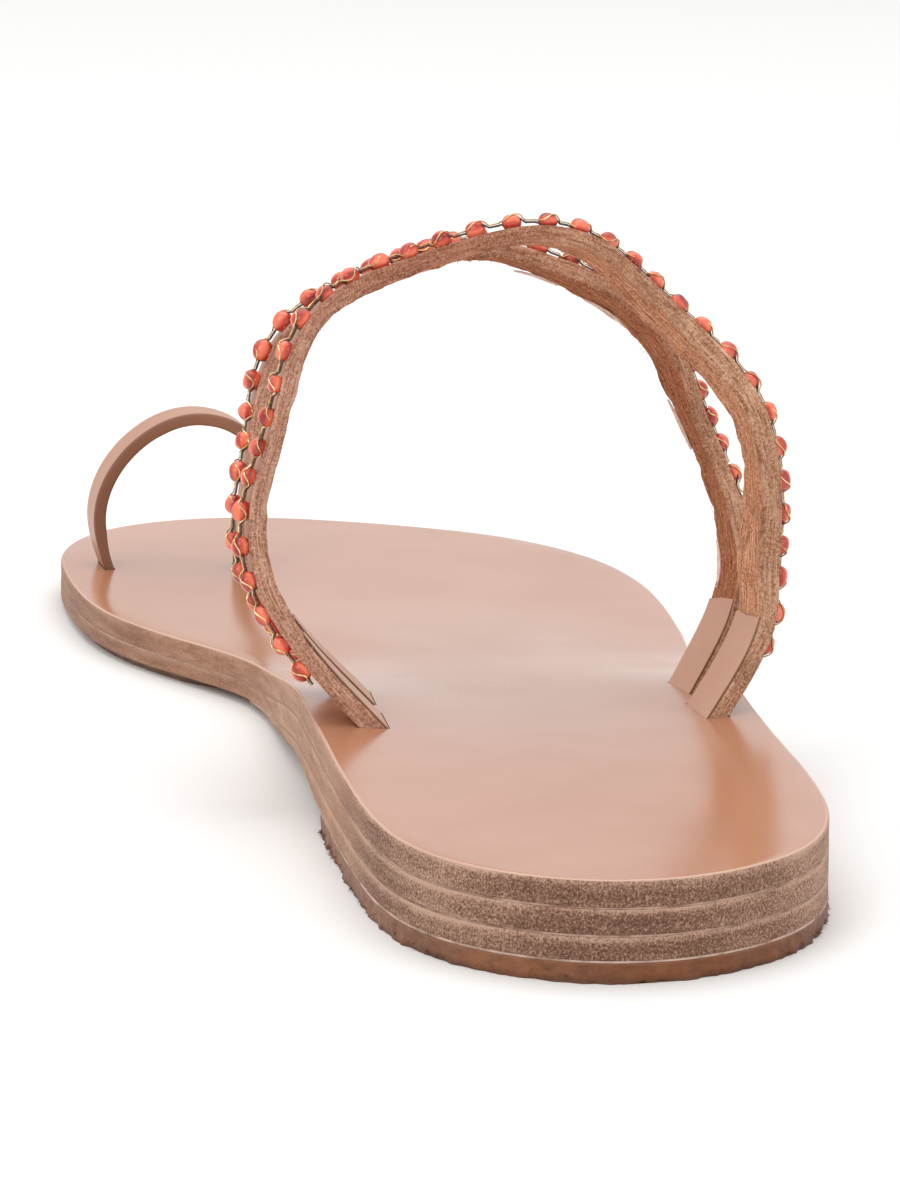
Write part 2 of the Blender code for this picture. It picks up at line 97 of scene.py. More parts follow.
MIDSOLE_FLARE = 0.05
LIFT_FLARE = 0.08
LIFT_END_Y = 147.0
LIFT_TAPER = 26.0
LIFT_THINNING = 0.9
HEEL_CAP_FLARE = 0.1
HEEL_CAP_END_Y = 76.0
HEEL_CAP_TOP = 2.6
RUBBER_MIDDLE = 0.5

# Forefoot pad, one row per section: distance from the heel tip, inset from the sole edge
TREAD_TOP = 1.0
TREAD_STEP_IN = 0.7
TREAD_BEVEL = 0.15
TREAD_WANDER = 0.15
TREAD_WANDER_SIZE = 2.5
TREAD_ROWS = (
    (150.0, 9.0),
    (157.0, 4.0),
    (165.0, 0.6),
    (180.0, 0.4),
    (193.0, 0.5),
    (198.0, 2.6),
    (210.0, 5.5),
    (222.0, 8.0),
    (232.0, 11.0),
)

# Unevenness of the walls: amount, size, whether it fades out upwards, seed
SOLE_WANDER = ((0.07, 8.0, False, 21), (0.03, 1.8, False, 22))
CAP_WANDER = ((0.4, 1.9, True, 31), (0.2, 0.8, True, 32), (0.1, 9.0, False, 33))
SPINE_START_Y = 28.0
SPINE_END_Y = 215.0
SPINE_LEAN = -0.1
TIP_HALF_GAP = 0.02

# Instep band, one row per section from the little-toe foot to the big-toe foot: place, lean in x and z
BAND_ROWS = (
    (27.9, 91.5, 13.0, -0.07, 0.0),
    (34.9, 95.3, 25.2, -0.10, -0.05),
    (35.8, 99.8, 39.3, -0.08, -0.13),
    (32.2, 103.8, 52.2, -0.10, -0.23),
    (25.5, 106.9, 61.8, -0.10, -0.28),
    (15.2, 109.6, 70.6, -0.07, -0.28),
    (1.6, 110.6, 73.8, -0.03, -0.23),
    (-12.9, 109.5, 70.1, 0.02, -0.21),
    (-25.0, 107.1, 62.5, 0.05, -0.20),
    (-30.0, 103.0, 49.6, 0.05, -0.16),
    (-33.0, 98.8, 36.3, 0.07, -0.11),
    (-28.0, 94.9, 23.7, 0.05, -0.05),
    (-18.7, 91.5, 13.0, 0.03, 0.0),
)
UNDER_INSTEP = (0.0, 100.0, 40.0)
RIBBON_POINTS = 900
RIBBON_STEP = 0.05
STRIP_THICKNESS = 2.2
STRIP_TAIL = 3.0
BACK_STRIP_OUT = 0.2
FRONT_STRIP_OUT = -0.25
WAVE_START = 19.0
WAVE_PITCH = 40.0
WAVE_COUNT = 3
WIDTH_EASE = 10.0
FOOT_HALF_SPACING = 5.8
BACK_FOOT_FORWARD = 0.8
FRONT_FOOT_FORWARD = 4.0
MEETING_HALF_SPACING = 4.4
EYE_HALF_SPACING = 12.6
FOOT_HALF_WIDTH = 4.9
MEETING_HALF_WIDTH = 4.8
EYE_HALF_WIDTH = 3.8
SKIVED_LENGTH = 13.0
SKIVED_EASE = 7.0
SKIVED_DEPTH = 0.6

# Bulge of the front strip: distance along the band, height
BULGE_ROWS = (
    (96.0, 0.0),
    (108.0, 0.45),
    (122.0, 1.4),
    (134.0, 1.0),
    (147.0, 0.75),
    (158.0, 0.0),
)

# Strips along the band: distance, back and front one thicker inside, both lowered, front one pushed out
EASE_ROWS = (
    (-7.0, 0.75, 0.0, 0.0, 1.5),
    (0.0, 0.75, 0.0, 0.0, 1.3),
    (8.0, 0.75, 0.1, 0.0, 0.6),
    (20.0, 0.75, 0.45, 0.0, 0.0),
    (32.0, 0.65, 0.05, 0.0, 0.0),
    (44.0, 0.6, 0.0, 0.0, 0.0),
    (56.0, 0.25, 0.0, 0.1, 0.0),
    (68.0, 0.0, 0.0, 0.4, 0.0),
    (80.0, 0.0, 0.0, 0.15, 0.0),
    (92.0, 0.1, 0.0, 0.45, 0.0),
    (104.0, 0.0, 0.0, 0.1, 0.0),
    (116.0, 0.0, 0.0, 0.0, 0.0),
    (140.0, 0.0, 0.0, 0.0, 0.0),
    (156.0, 0.6, 0.2, 0.0, 0.0),
    (168.0, 0.95, 0.4, 0.0, 0.0),
    (179.0, 0.95, 0.4, 0.0, 0.0),
)

# Cut edges of the strips: wobble across, ripple and nap, with noise as size, share, shift and seed
STRIP_UNEVEN = (0.42, 0.32, 0.26)
STRIP_CORNER = 0.35
STEADY_FOOT = 12.0
STEADY_EASE = 10.0
WOBBLE_NOISE = ((6.0, 1.0, 0.0, 3), (1.6, 0.4, 0.0, 5))
RIPPLE_NOISE = ((8.0, 1.0, 0.0, 7), (3.5, 0.5, 0.0, 8))
NAP_NOISE = ((4.5, 1.0, 5.0, 9), (1.3, 0.6, 0.0, 10))
RIPPLE_PLACE = 17.0
EDGES_APART = 40.0
FACES_APART = 3.0

# Lining tabs and slots at the feet
LINING_LENGTH = 13.5
LINING_HALF_WIDTH = 4.72
LINING_THICKNESS = 0.24
LINING_GAP = 0.04
LINING_TAIL = 2.8
LINING_CORNER = 0.08
TAB_SLANT = 0.75
TAB_END_REACH = 5.0
TAB_UNEVEN = 0.6
TAB_UNEVEN_SIZE = 3.4
TAB_UNEVEN_PLACE = (4.0, 5.0)
SLOT_ROOM = 0.12
SLOT_BELOW = 7.0
SLOT_ABOVE = 4.0

# Toe loop, one row per section from the big-toe side foot over the arch
LOOP_ROWS = (
    (-38.7, 216.0, 6.6),
    (-40.5, 216.4, 14.3),
    (-38.4, 216.0, 21.9),
    (-33.2, 214.9, 27.8),
    (-26.0, 213.6, 30.7),
    (-18.6, 212.1, 28.7),
    (-15.7, 211.5, 22.3),
    (-17.6, 211.9, 14.5),
    (-18.3, 212.1, 6.6),
)
UNDER_LOOP = (-28.0, 214.0, 15.0)
LOOP_LEAN = (-0.06, 1.0, 0.0)
LOOP_WIDTH = 6.5
LOOP_THICKNESS = 1.4
LOOP_TAIL = 2.3
LOOP_INNER = 0.5
LOOP_INNER_START = 1.0
LOOP_INNER_EASE = 6.0
LOOP_CORNER = 0.3
LOOP_UNEVEN = (0.06, 0.0, 0.03)

# Bead rows
BEAD_RADIUS = 1.24
BEAD_HALF_LENGTH = 1.38
BEAD_PITCH = 4.25
BEAD_FREE_LATERAL = 9.2
BEAD_FREE_MEDIAL = 5.8
BEAD_INSET_LATERAL = 3.4
BEAD_INSET_MEDIAL = 0.9
BEAD_SEAT = -0.45
BEAD_GROW = 0.06
BEAD_NUDGE_ACROSS = 0.12
BEAD_NUDGE_ALONG = 0.08
BEAD_SHADES = (0.35, 0.75)
BEAD_STRIPES = 0.5
BEAD_LOBES = 3.0
BEAD_LUMPS = 0.05
BEAD_TWIST = 2.0
BEAD_HOLE = 0.3
BEAD_ROUNDNESS = 0.8

# Wires of the bead rows: radius, lean over the beads, place between them, depth beside them
GOLD_WIRE = (0.11, 66.0, 0.2, 1.0)
DARK_THREAD = (0.16, 92.0, -0.12, 0.6)
WIRE_SWING = 34.0
WIRE_WANDER = 46.0
WIRE_WANDER_SIZE = 5.0
WIRE_SUNK = 0.1
WIRE_SUNK_SIZE = 2.4
WIRE_SUNK_PLACE = 9.0
WIRE_HUG = 0.4

# Loose fibres along the strips
FUZZ_COUNT = 5200
FUZZ_FREE_END = 4.0
FUZZ_ASIDE = (0.1, 1.0)
FUZZ_FAN = 1.6
FUZZ_STRAY_OUT = 0.4
FUZZ_STRAY_ALONG = 0.8
FUZZ_LENGTH = (0.2, 0.62)
FUZZ_THICKNESS = 0.09

# Peeled slivers: start, end and place across the front strip; corners as edge and depth
SLIVERS = (
    (15.5, 23.0, 0.72),
    (37.0, 46.0, 0.80),
    (59.0, 66.0, 0.62),
    (70.0, 76.5, 0.78),
    (112.0, 118.0, 0.70),
)
SLIVER_CORNERS = ((-1.0, 0.0), (1.0, 0.16), (1.0, -0.02), (-1.0, -0.1))
SLIVER_HALF_WIDTH = 0.5
SLIVER_TIPS = (0.04, 0.96)
SLIVER_LIFT = 0.1
SLIVER_CURL = 0.3

# Frayed bits of the heel cap, first those at the front of its inner side
FRAYED_FRONT = 40
FRAYED_REST = 110
FRAYED_FRONT_Y = 60.0
FRAYED_HEEL_Y = 0.6
FRAYED_MEDIAL_SHARE = 0.6
FRAYED_HEIGHT = (0.2, 1.0)
FRAYED_DROOP = (-0.5, 0.1)
FRAYED_STRAY = 0.35
FRAYED_LENGTH = (0.3, 0.8)
FRAYED_ABOVE_FLOOR = 0.15
FRAYED_LEAST_DROOP = 0.01
FRAYED_THICKNESS = 0.28
HEEL_ROUND_Y = 24.0

# Fineness of the dressed pieces
SOLE_STATIONS = 260
SOLE_COLUMNS = 26
SAG_STEPS = 41
WALL_STEPS = 8
ROUND_STEPS = 4
TREAD_STEPS = 120
STRIP_STEPS = 420
LINING_STEPS = 40
LOOP_STEPS = 160
SLOT_STEPS = 4
SLIVER_STEPS = 14
FACE_STEPS = 9
EDGE_STEPS = 4
CORNER_STEPS = 3
BEAD_RINGS = 12
BEAD_SIDES = 16
WIRE_STEPS = 16
WIRE_SIDES = 6
SHARP_ANGLE = 50.0

# Large numbers that scatter the noise over its cells
NOISE_PRIMES = (73856093, 19349663, 83492791)
NOISE_SEED_STEP = 7919
NOISE_FACTOR = 1274126177

# Slanted directions that give blades and wires their sideways axis
BLADE_ASIDE = (0.36, 0.48, 0.8)
WIRE_ASIDE = (0.31, 0.87, 0.38)

# Stretches of the cut sole edge, in metres from the middle of the sandal
INNER_SIDE = (-0.016, -0.023)
WAIST_START = (-0.092, -0.055)
FOREFOOT_START = (0.0, 0.055)


def together(*parts):
    """Arrays and single numbers side by side as columns."""
    return np.stack(np.broadcast_arrays(*parts), axis=1)


def smooth_curve(knots, values, at):
    """Natural cubic curve through the values at the knots."""
    count = len(knots)
    shape = (-1,) + (1,) * (values.ndim - 1)
    step = np.diff(knots)
    slope = np.diff(values, axis=0) / step.reshape(shape)
    system = np.eye(count)
    right = np.zeros(values.shape)
    for i in range(1, count - 1):
        system[i, i - 1:i + 2] = (step[i - 1], 2.0 * (step[i - 1] + step[i]), step[i])
        right[i] = 6.0 * (slope[i] - slope[i - 1])
    bend = np.linalg.solve(system, right)
    span = np.clip(np.searchsorted(knots, at) - 1, 0, count - 2)
    along = (at - knots[span]).reshape(shape)
    width = step[span].reshape(shape)
    first = slope[span] - width * (2.0 * bend[span] + bend[span + 1]) / 6.0
    cubic = (bend[span + 1] - bend[span]) / (6.0 * width)
    return values[span] + first * along + bend[span] / 2.0 * along ** 2 + cubic * along ** 3


def table_curves(rows):
    """Smooth functions of a table's first column, one for each other column."""
    knots, *columns = np.array(rows).T
    return [lambda at, values=values: smooth_curve(knots, values, at) for values in columns]


def held(curve, rows):
    """A table's smooth function, held beyond the first and last row and never below nought."""
    return lambda at: np.maximum(0.0, curve(np.clip(at, rows[0][0], rows[-1][0])))


def smooth_step(share):
    """Eased run from nought to one."""
    share = np.clip(share, 0.0, 1.0)
    return share * share * (3.0 - 2.0 * share)


def mix(first, second, share):
    """A value between two others."""
    return first + (second - first) * share


def unit(vectors):
    """The vectors scaled to length one."""
    return vectors / np.linalg.norm(vectors, axis=1)[:, None]


def run_along(points):
    """Distance along a line from its first point to each point."""
    return np.concatenate([[0.0], np.cumsum(np.linalg.norm(np.diff(points, axis=0), axis=1))])


def soft_noise(points, size, seed):
    """Smooth noise between -1 and 1 with features of a size in millimetres."""
    cell = np.asarray(points, float) / size
    base = np.floor(cell).astype(np.int64)
    ease = smooth_step(cell - base)
    total = np.zeros(len(cell))
    for corner in itertools.product((0, 1), repeat=3):
        mixed = (base + np.array(corner)) @ np.array(NOISE_PRIMES) + seed * NOISE_SEED_STEP
        mixed = (mixed ^ (mixed >> 13)) * NOISE_FACTOR & 0xFFFFFFFF
        value = ((mixed ^ (mixed >> 16)) & 0xFFFF) / 32767.5 - 1.0
        weight = np.where(np.array(corner) == 1, ease, 1.0 - ease).prod(axis=1)
        total += value * weight
    return total


def layered_noise(points, layers):
    """Noise of several sizes, each with its share, shift and seed."""
    return sum(share * soft_noise(points + shift, size, seed) for size, share, shift, seed in layers)


def sole_outline():
    """Dense closed outline of the sole, counter-clockwise from the heel tip."""
    y, medial, lateral = np.array(PLAN_ROWS).T
    heel = [(HEEL_TIP_X, 0.0)]
    toe = [(TOE_TIP_X, LENGTH)]
    loop = np.vstack([heel, together(lateral, y), toe, together(medial, y)[::-1]])
    wrapped = np.vstack([loop[-OUTLINE_OVERLAP:], loop, loop[:OUTLINE_OVERLAP + 1]])
    run = run_along(wrapped)
    first = run[OUTLINE_OVERLAP]
    last = run[OUTLINE_OVERLAP + len(loop)]
    return smooth_curve(run, wrapped, np.linspace(first, last, OUTLINE_POINTS, endpoint=False))


OUTLINE = sole_outline()
SHIFT = (*(-0.5 * (OUTLINE.min(axis=0) + OUTLINE.max(axis=0))), 0.0)


def sole_edges(inset):
    """The two side edges of the inset outline, each from the heel tip to the toe tip."""
    along = unit(np.roll(OUTLINE, -1, axis=0) - np.roll(OUTLINE, 1, axis=0))
    loop = OUTLINE + together(-along[:, 1], along[:, 0]) * inset
    loop = np.roll(loop, -int(np.argmin(loop[:, 1])), axis=0)
    toe = int(np.argmax(loop[:, 1]))
    lateral = loop[:toe + 1]
    medial = np.vstack([loop[toe:], loop[:1]])[::-1]
    return lateral, medial


def edge_x(edge, y):
    """Place across of a side edge at each distance from the heel tip."""
    return np.interp(y, edge[:, 1], edge[:, 0])


def level(z):
    """A flat height."""
    return lambda y: np.full(np.shape(y), z)


def raised(profile, by):
    """A height profile moved up."""
    return lambda y: profile(y) + by


def between(low, high, share):
    """A height profile between two others."""
    return lambda y: mix(low(y), high(y), share)


def insole_under(y):
    """Underside of the insole, which thins towards the toe."""
    thinning = INSOLE_HEEL_THICKNESS - INSOLE_TOE_THICKNESS
    return INSOLE_TOP(y) - INSOLE_HEEL_THICKNESS + thinning * np.asarray(y) / LENGTH


def thinned_lift(y):
    """Underside of the heel lift, which thins out to its front end."""
    room = LIFT_TOP(y) - LIFT_UNDER(y)
    thinning = smooth_step((np.asarray(y) - LIFT_END_Y + LIFT_TAPER) / LIFT_TAPER)
    return LIFT_UNDER(y) + LIFT_THINNING * room * thinning


INSOLE_TOP, MIDSOLE_UNDER, LIFT_UNDER = table_curves(HEIGHT_ROWS)
MIDSOLE_TOP = raised(insole_under, -FIT_GAP)
LIFT_TOP = raised(MIDSOLE_UNDER, -FIT_GAP)


class Ribbon:
    """A bent strip surface: a middle line and a cross direction at each distance along it."""

    def __init__(self, middle, lean, inner_point):
        rows = np.linspace(0.0, 1.0, len(middle))
        fine = np.linspace(0.0, 1.0, RIBBON_POINTS)
        self.line = smooth_curve(rows, middle, fine)
        self.cross = unit(smooth_curve(rows, lean, fine))
        self.run = run_along(self.line)
        self.length = self.run[-1]
        self.side = 1.0
        halfway = np.array([0.5 * self.length])
        away = self.middle_at(halfway) - np.array(inner_point)
        self.side = math.copysign(1.0, float((self.outward(halfway, np.zeros(1)) * away).sum()))

    def read(self, values, s):
        """Values of the ribbon at the distances s, held at its ends."""
        inside = np.clip(s, 0.0, self.length)
        return together(*(np.interp(inside, self.run, values[:, k]) for k in range(3)))

    def middle_at(self, s):
        """Middle line, carried on straight beyond both ends."""
        first, last = unit(np.diff(self.line, axis=0)[[0, -1]])
        before = np.minimum(s, 0.0)[:, None]
        beyond = np.maximum(s - self.length, 0.0)[:, None]
        return self.read(self.line, s) + before * first + beyond * last

    def cross_at(self, s):
        """Cross direction."""
        return unit(self.read(self.cross, s))

    def surface(self, s, across):
        """Point on the surface at distance s, across towards the toe."""
        return self.middle_at(s) + self.cross_at(s) * across[:, None]

    def outward(self, s, across):
        """Direction away from the surface."""
        step = self.surface(s + RIBBON_STEP, across) - self.surface(s - RIBBON_STEP, across)
        return unit(np.cross(self.cross_at(s), step)) * self.side

    def point(self, s, across, out):
        """Point out from the surface."""
        return self.surface(s, across) + self.outward(s, across) * np.broadcast_to(out, s.shape)[:, None]

    def from_foot(self, s):
        """Distance to the nearer foot."""
        return np.minimum(s, self.length - s)

    def foot_runs(self, below, above, steps):
        """Distances through the sole at the first and the last foot."""
        first = np.linspace(-below, above, steps)
        last = np.linspace(self.length - above, self.length + below, steps)
        return first, last


def make_band():
    """The curved surface on which both instep strips lie."""
    x, y, z, lean_x, lean_z = np.array(BAND_ROWS).T
    return Ribbon(together(x, y, z), together(lean_x, 1.0, lean_z), UNDER_INSTEP)


BAND = make_band()
LOOP = Ribbon(np.array(LOOP_ROWS), np.tile(LOOP_LEAN, (len(LOOP_ROWS), 1)), UNDER_LOOP)
BULGE = held(table_curves(BULGE_ROWS)[0], BULGE_ROWS)
BACK_INNER, FRONT_INNER, LOWERED, FRONT_OUT = (held(curve, EASE_ROWS) for curve in table_curves(EASE_ROWS))


def strip_wave(s, side):
    """Middle and half width of a strip; the strips meet and part along the band."""
    foot = BAND.from_foot(s)
    wave_end = WAVE_START + WAVE_PITCH * WAVE_COUNT
    opening = 0.5 * (1.0 - np.cos(2.0 * np.pi * (s - WAVE_START) / WAVE_PITCH))
    opening = np.where((s > WAVE_START) & (s < wave_end), opening, 0.0)
    foot_run = np.where(s > 0.5 * BAND.length, BAND.length - wave_end, WAVE_START)
    closing = smooth_step((foot - LINING_LENGTH) / (foot_run - LINING_LENGTH))
    narrowing = smooth_step((foot - LINING_LENGTH) / WIDTH_EASE)
    spacing = mix(FOOT_HALF_SPACING, MEETING_HALF_SPACING, closing)
    spacing = spacing + (EYE_HALF_SPACING - MEETING_HALF_SPACING) * opening
    foot_forward = BACK_FOOT_FORWARD if side == BACK else FRONT_FOOT_FORWARD
    middle = side * spacing + foot_forward * (1.0 - smooth_step(foot / foot_run))
    width = mix(FOOT_HALF_WIDTH, MEETING_HALF_WIDTH, narrowing)
    width = width + (EYE_HALF_WIDTH - MEETING_HALF_WIDTH) * opening
    return middle, width


def strip_layers(s, side):
    """Inner and outer height of a strip, which is skived at its feet."""
    middle = BACK_STRIP_OUT if side == BACK else FRONT_STRIP_OUT
    high = middle + 0.5 * STRIP_THICKNESS - LOWERED(s)
    if side == FRONT:
        high = high + BULGE(s) + FRONT_OUT(s)
    thinned = SKIVED_DEPTH * (1.0 - smooth_step((BAND.from_foot(s) - SKIVED_LENGTH) / SKIVED_EASE))
    thicker = BACK_INNER(s) if side == BACK else FRONT_INNER(s)
    return high - STRIP_THICKNESS + thinned - thicker, high


def lining_layers(s, side):
    """Inner and outer height of a lining tab, which lies on the strip."""
    high = strip_layers(s, side)[0] - LINING_GAP
    return high - LINING_THICKNESS, high


LOOKS = {}


class Look:
    """A node material under construction, kept by its name in LOOKS."""

    def __init__(self, name):
        self.material = bpy.data.materials.new(name)
        self.material.use_nodes = True
        self.tree = self.material.node_tree
        self.colour = None
        LOOKS[name] = self.material

    def feed(self, node, values):
        """Link or set inputs of a node, each by its number or its name with _ for a space."""
        for key, value in values.items():
            socket = node.inputs[key.replace("_", " ") if isinstance(key, str) else key]
            if isinstance(value, bpy.types.NodeSocket):
                self.tree.links.new(value, socket)
            elif socket.type == "RGBA":
                socket.default_value = (*value, 1.0)
            else:
                socket.default_value = value

    def set(self, **values):
        """Feed the colour and other inputs of the shader."""
        self.feed(self.tree.nodes["Principled BSDF"], {"Base_Color": self.colour, **values})

    def node(self, kind, values=None):
        """A new node with its inputs fed."""
        made = self.tree.nodes.new("ShaderNode" + kind)
        self.feed(made, values or {})
        return made

    def output(self, kind, name, **values):
        """A named output of a new node."""
        return self.node(kind, values).outputs[name]

    def place(self):
        """Place on the object in metres."""
        return self.output("TexCoord", "Object")

    def strip_place(self):
        """Place along and around a strip."""
        made = self.node("UVMap")
        made.uv_map = "strip"
        return made.outputs["UV"]

    def tint(self):
        """The share stored in the mesh attribute named tint."""
        made = self.node("Attribute")
        made.attribute_name = "tint"
        return made.outputs["Fac"]

    def stretched(self, vector, *scale):
        """A place scaled along its axes."""
        return self.output("Mapping", "Vector", Vector=vector, Scale=scale)

    def noise(self, vector, scale, detail=3.0, roughness=0.55):
        """Cloudy noise."""
        return self.output("TexNoise", "Fac", Vector=vector, Scale=scale, Detail=detail, Roughness=roughness)

    def pores(self, vector, scale):
        """Distance to the middle of small cells."""
        return self.output("TexVoronoi", "Distance", Vector=vector, Scale=scale)

    def ramp(self, share, positions, tones):
        """Tones at positions over a share."""
        made = self.node("ValToRGB", {"Fac": share})
        elements = made.color_ramp.elements
        while len(elements) < len(tones):
            elements.new(1.0)
        for element, position, tone in zip(elements, positions, tones):
            element.position = position
            element.color = (*tone, 1.0)
        return made.outputs["Color"]

    def spread(self, share, first, last, high=1.0, low=0.0):
        """A share spread from the range of first to last over that of low to high."""
        ranges = {"From_Min": first, "From_Max": last, "To_Min": low, "To_Max": high}
        return self.output("MapRange", "Result", Value=share, **ranges)

    def fade(self, place, axis, first, last, high=1.0):
        """A share that runs over a stretch of one axis of a place."""
        return self.spread(self.output("SeparateXYZ", axis, Vector=place), first, last, high)

    def sum(self, first, second, operation="ADD"):
        """Two numbers joined by an operation."""
        made = self.node("Math", {0: first, 1: second})
        made.operation = operation
        return made.outputs["Value"]

    def times(self, first, second):
        """Two numbers multiplied."""
        return self.sum(first, second, "MULTIPLY")

    def stain(self, share, tone, kind="MIX"):
        """Mix a tone into the colour by a share."""
        made = self.node("Mix")
        made.data_type = "RGBA"
        made.blend_type = kind
        self.feed(made, {0: share, 6: self.colour, 7: tone})
        self.colour = made.outputs[2]

    def bump(self, relief, depth, strength=1.0):
        """A bumped normal; depth in metres."""
        return self.output("Bump", "Normal", Height=relief, Distance=depth, Strength=strength)


def smooth_leather(name, pale, deep, gloss, coat):
    """Tanned leather with fine pores, faint clouds and a soft gloss."""
    look = Look(name)
    place = look.place()
    clouds = look.noise(place, scale=38.0, detail=4.0)
    flecks = look.noise(place, scale=1400.0, detail=2.0)
    pores = look.pores(place, scale=2400.0)
    wrinkles = look.noise(look.stretched(place, 1.0, 0.45, 1.0), scale=420.0)
    look.colour = pale
    look.stain(look.spread(clouds, 0.35, 0.68), deep)
    look.stain(look.spread(flecks, 0.58, 0.8, 0.25), deep)
    look.set(
        Roughness=look.spread(clouds, 0.2, 0.8, low=gloss - 0.03, high=gloss + 0.06),
        Normal=look.bump(look.sum(look.times(pores, 0.35), wrinkles), depth=0.00002, strength=0.22),
        Coat_Weight=coat,
        Coat_Roughness=0.16,
    )


def inner_waist(look, place):
    """Share of the inner side, and of its burnished stretch ahead of the heel."""
    side = look.fade(place, "X", *INNER_SIDE)
    return side, look.times(side, look.fade(place, "Y", *WAIST_START))


def fibre_ends(look, place, grain):
    """Mix of cut fibre ends, paler at the joints and towards both sides of the heel."""
    specks = look.spread(look.pores(place, scale=2600.0), 0.30, 0.1, 0.13)
    layers = look.noise(look.stretched(place, 1.0, 1.0, 10.0), scale=60.0, detail=4.0)
    patches = look.noise(look.stretched(place, 1.0, 1.0, 2.5), scale=75.0, roughness=0.6)
    greys = [(grey,) * 3 for grey in (0.06, 0.03, 0.0, 0.06, 0.32)]
    near_joint = look.ramp(look.tint(), (0.0, 0.12, 0.45, 0.74, 0.97), greys)
    near_joint = look.times(near_joint, look.spread(patches, 0.35, 0.65, low=0.4, high=1.3))
    mixed = look.sum(look.times(grain, 0.72), look.times(layers, 0.28))
    mixed = look.sum(look.sum(mixed, specks), look.times(near_joint, 0.6))
    mixed = look.sum(mixed, look.spread(patches, 0.3, 0.7, low=-0.025, high=0.015))
    mixed = look.sum(mixed, look.fade(place, "X", -0.006, -0.02, 0.06))
    return look.sum(mixed, look.fade(place, "X", 0.014, 0.029, 0.105))


def cut_edge(name, rough, smooth):
    """Cut and sanded leather edge, burnished along the inner side, with painted shade low on the wall near
    the floor.
    """
    look = Look(name)
    place = look.place()
    grain = look.noise(place, scale=3300.0, detail=2.0, roughness=0.7)
    mixed = fibre_ends(look, place, grain)
    side, waist = inner_waist(look, place)
    streaks = look.noise(look.stretched(place, 1.0, 0.26, 2.6), scale=330.0, detail=5.0, roughness=0.7)
    streaks = look.sum(look.times(streaks, 0.55), look.times(mixed, 0.45))
    # Painted shade: the wall is darkened low down, near the floor, on the heel and the little-toe side,
    # fading out towards the big-toe side.
    painted_floor_shade = look.fade(place, "Z", 0.0062, 0.004, 0.16)
    painted_floor_shade = look.times(painted_floor_shade, look.fade(place, "X", -0.015, 0.0))
    front = look.times(side, look.fade(place, "Y", *FOREFOOT_START))
    look.colour = look.ramp(mixed, (0.40, 0.53, 0.72), rough)
    look.stain(look.times(waist, 0.9), look.ramp(streaks, (0.38, 0.5, 0.64), smooth))
    look.stain(painted_floor_shade, (0.66, 0.56, 0.5), "MULTIPLY")
    look.stain(front, (0.74, 0.7, 0.7), "MULTIPLY")
    look.set(
        Roughness=look.spread(waist, 0.0, 1.0, low=0.78, high=0.55),
        Normal=look.bump(grain, depth=0.00012, strength=0.7),
        Specular_IOR_Level=0.25,
    )


def glue_line(name):
    """Pale dried glue between the sole layers, rubbed off along the inner side."""
    look = Look(name)
    place = look.place()
    broken = look.noise(place, scale=260.0, detail=4.0, roughness=0.65)
    lowest = look.fade(place, "Z", 0.0036, 0.0032)
    lowest = look.times(lowest, look.spread(broken, 0.36, 0.6, low=0.15, high=0.85))
    look.colour = look.ramp(broken, (0.38, 0.64), ((0.21, 0.117, 0.078), (0.46, 0.305, 0.23)))
    look.stain(look.times(inner_waist(look, place)[1], 0.85), (0.36, 0.215, 0.14))
    look.stain(lowest, (0.60, 0.43, 0.355))
    look.set(Roughness=0.7, Normal=look.bump(broken, depth=0.0001), Specular_IOR_Level=0.25)


def rubber(name, dark, warm, worn):
    """Warm brown rubber, rough and worn at its cut edge."""
    look = Look(name)
    place = look.place()
    clouds = look.noise(place, scale=70.0)
    rough = look.noise(place, scale=1700.0, roughness=0.65)
    scraped = look.noise(look.stretched(place, 1.0, 1.0, 2.2), scale=330.0, detail=4.0, roughness=0.7)
    deep = tuple(0.3 * part for part in dark)
    look.colour = look.ramp(clouds, (0.32, 0.68), (dark, warm))
    look.stain(look.spread(rough, 0.52, 0.78, 0.5), worn)
    look.stain(look.fade(place, "X", 0.004, -0.022, 0.45), worn)
    look.stain(look.spread(scraped, 0.45, 0.75, 0.6), deep)
    look.stain(look.spread(look.tint(), 0.35, 0.0, 0.6), deep)
    look.stain(look.spread(look.tint(), 0.86, 0.97, 0.4), worn)
    look.set(
        Roughness=look.spread(rough, 0.3, 0.7, low=0.36, high=0.6),
        Normal=look.bump(rough, depth=0.0001, strength=0.7),
        Specular_IOR_Level=0.35,
    )


def suede(name, tones, streaked, positions, along_tones):
    """Rough flesh side: streaks along the strip, nap and loose pale fibres."""
    look = Look(name)
    strip = look.strip_place()
    place = look.place()
    pale = tones[-1]
    streaks = look.noise(look.stretched(strip, 0.8, 9.0, 1.0), scale=2.6, detail=5.0, roughness=0.65)
    strands = look.noise(look.stretched(strip, 0.5, 12.0, 1.0), scale=3.0, detail=2.0, roughness=0.5)
    nap = look.noise(place, scale=2800.0, roughness=0.7)
    blotches = look.noise(place, scale=320.0, roughness=0.6)
    mixed = look.sum(look.times(streaks, streaked), look.times(nap, 1.0 - streaked))
    specks = look.spread(look.pores(place, scale=2300.0), 0.26, 0.1, streaked)
    along = look.fade(strip, "X", 0.0, CM_PER_MM * BAND.length)
    look.colour = look.ramp(mixed, (0.40, 0.5, 0.62), tones)
    look.stain(look.spread(strands, 0.55, 0.64, 1.2 * streaked), pale)
    look.stain(look.times(specks, look.spread(nap, 0.4, 0.62)), pale)
    look.stain(look.spread(blotches, 0.46, 0.68, 1.4 * streaked), (0.74, 0.66, 0.6), "MULTIPLY")
    look.stain(1.0, look.ramp(along, positions, along_tones), "MULTIPLY")
    look.set(
        Roughness=0.92,
        Normal=look.bump(mixed, depth=0.0003, strength=0.9),
        Specular_IOR_Level=0.2,
        Sheen_Weight=0.08,
        Sheen_Roughness=0.45,
        Sheen_Tint=(0.95, 0.72, 0.58),
    )


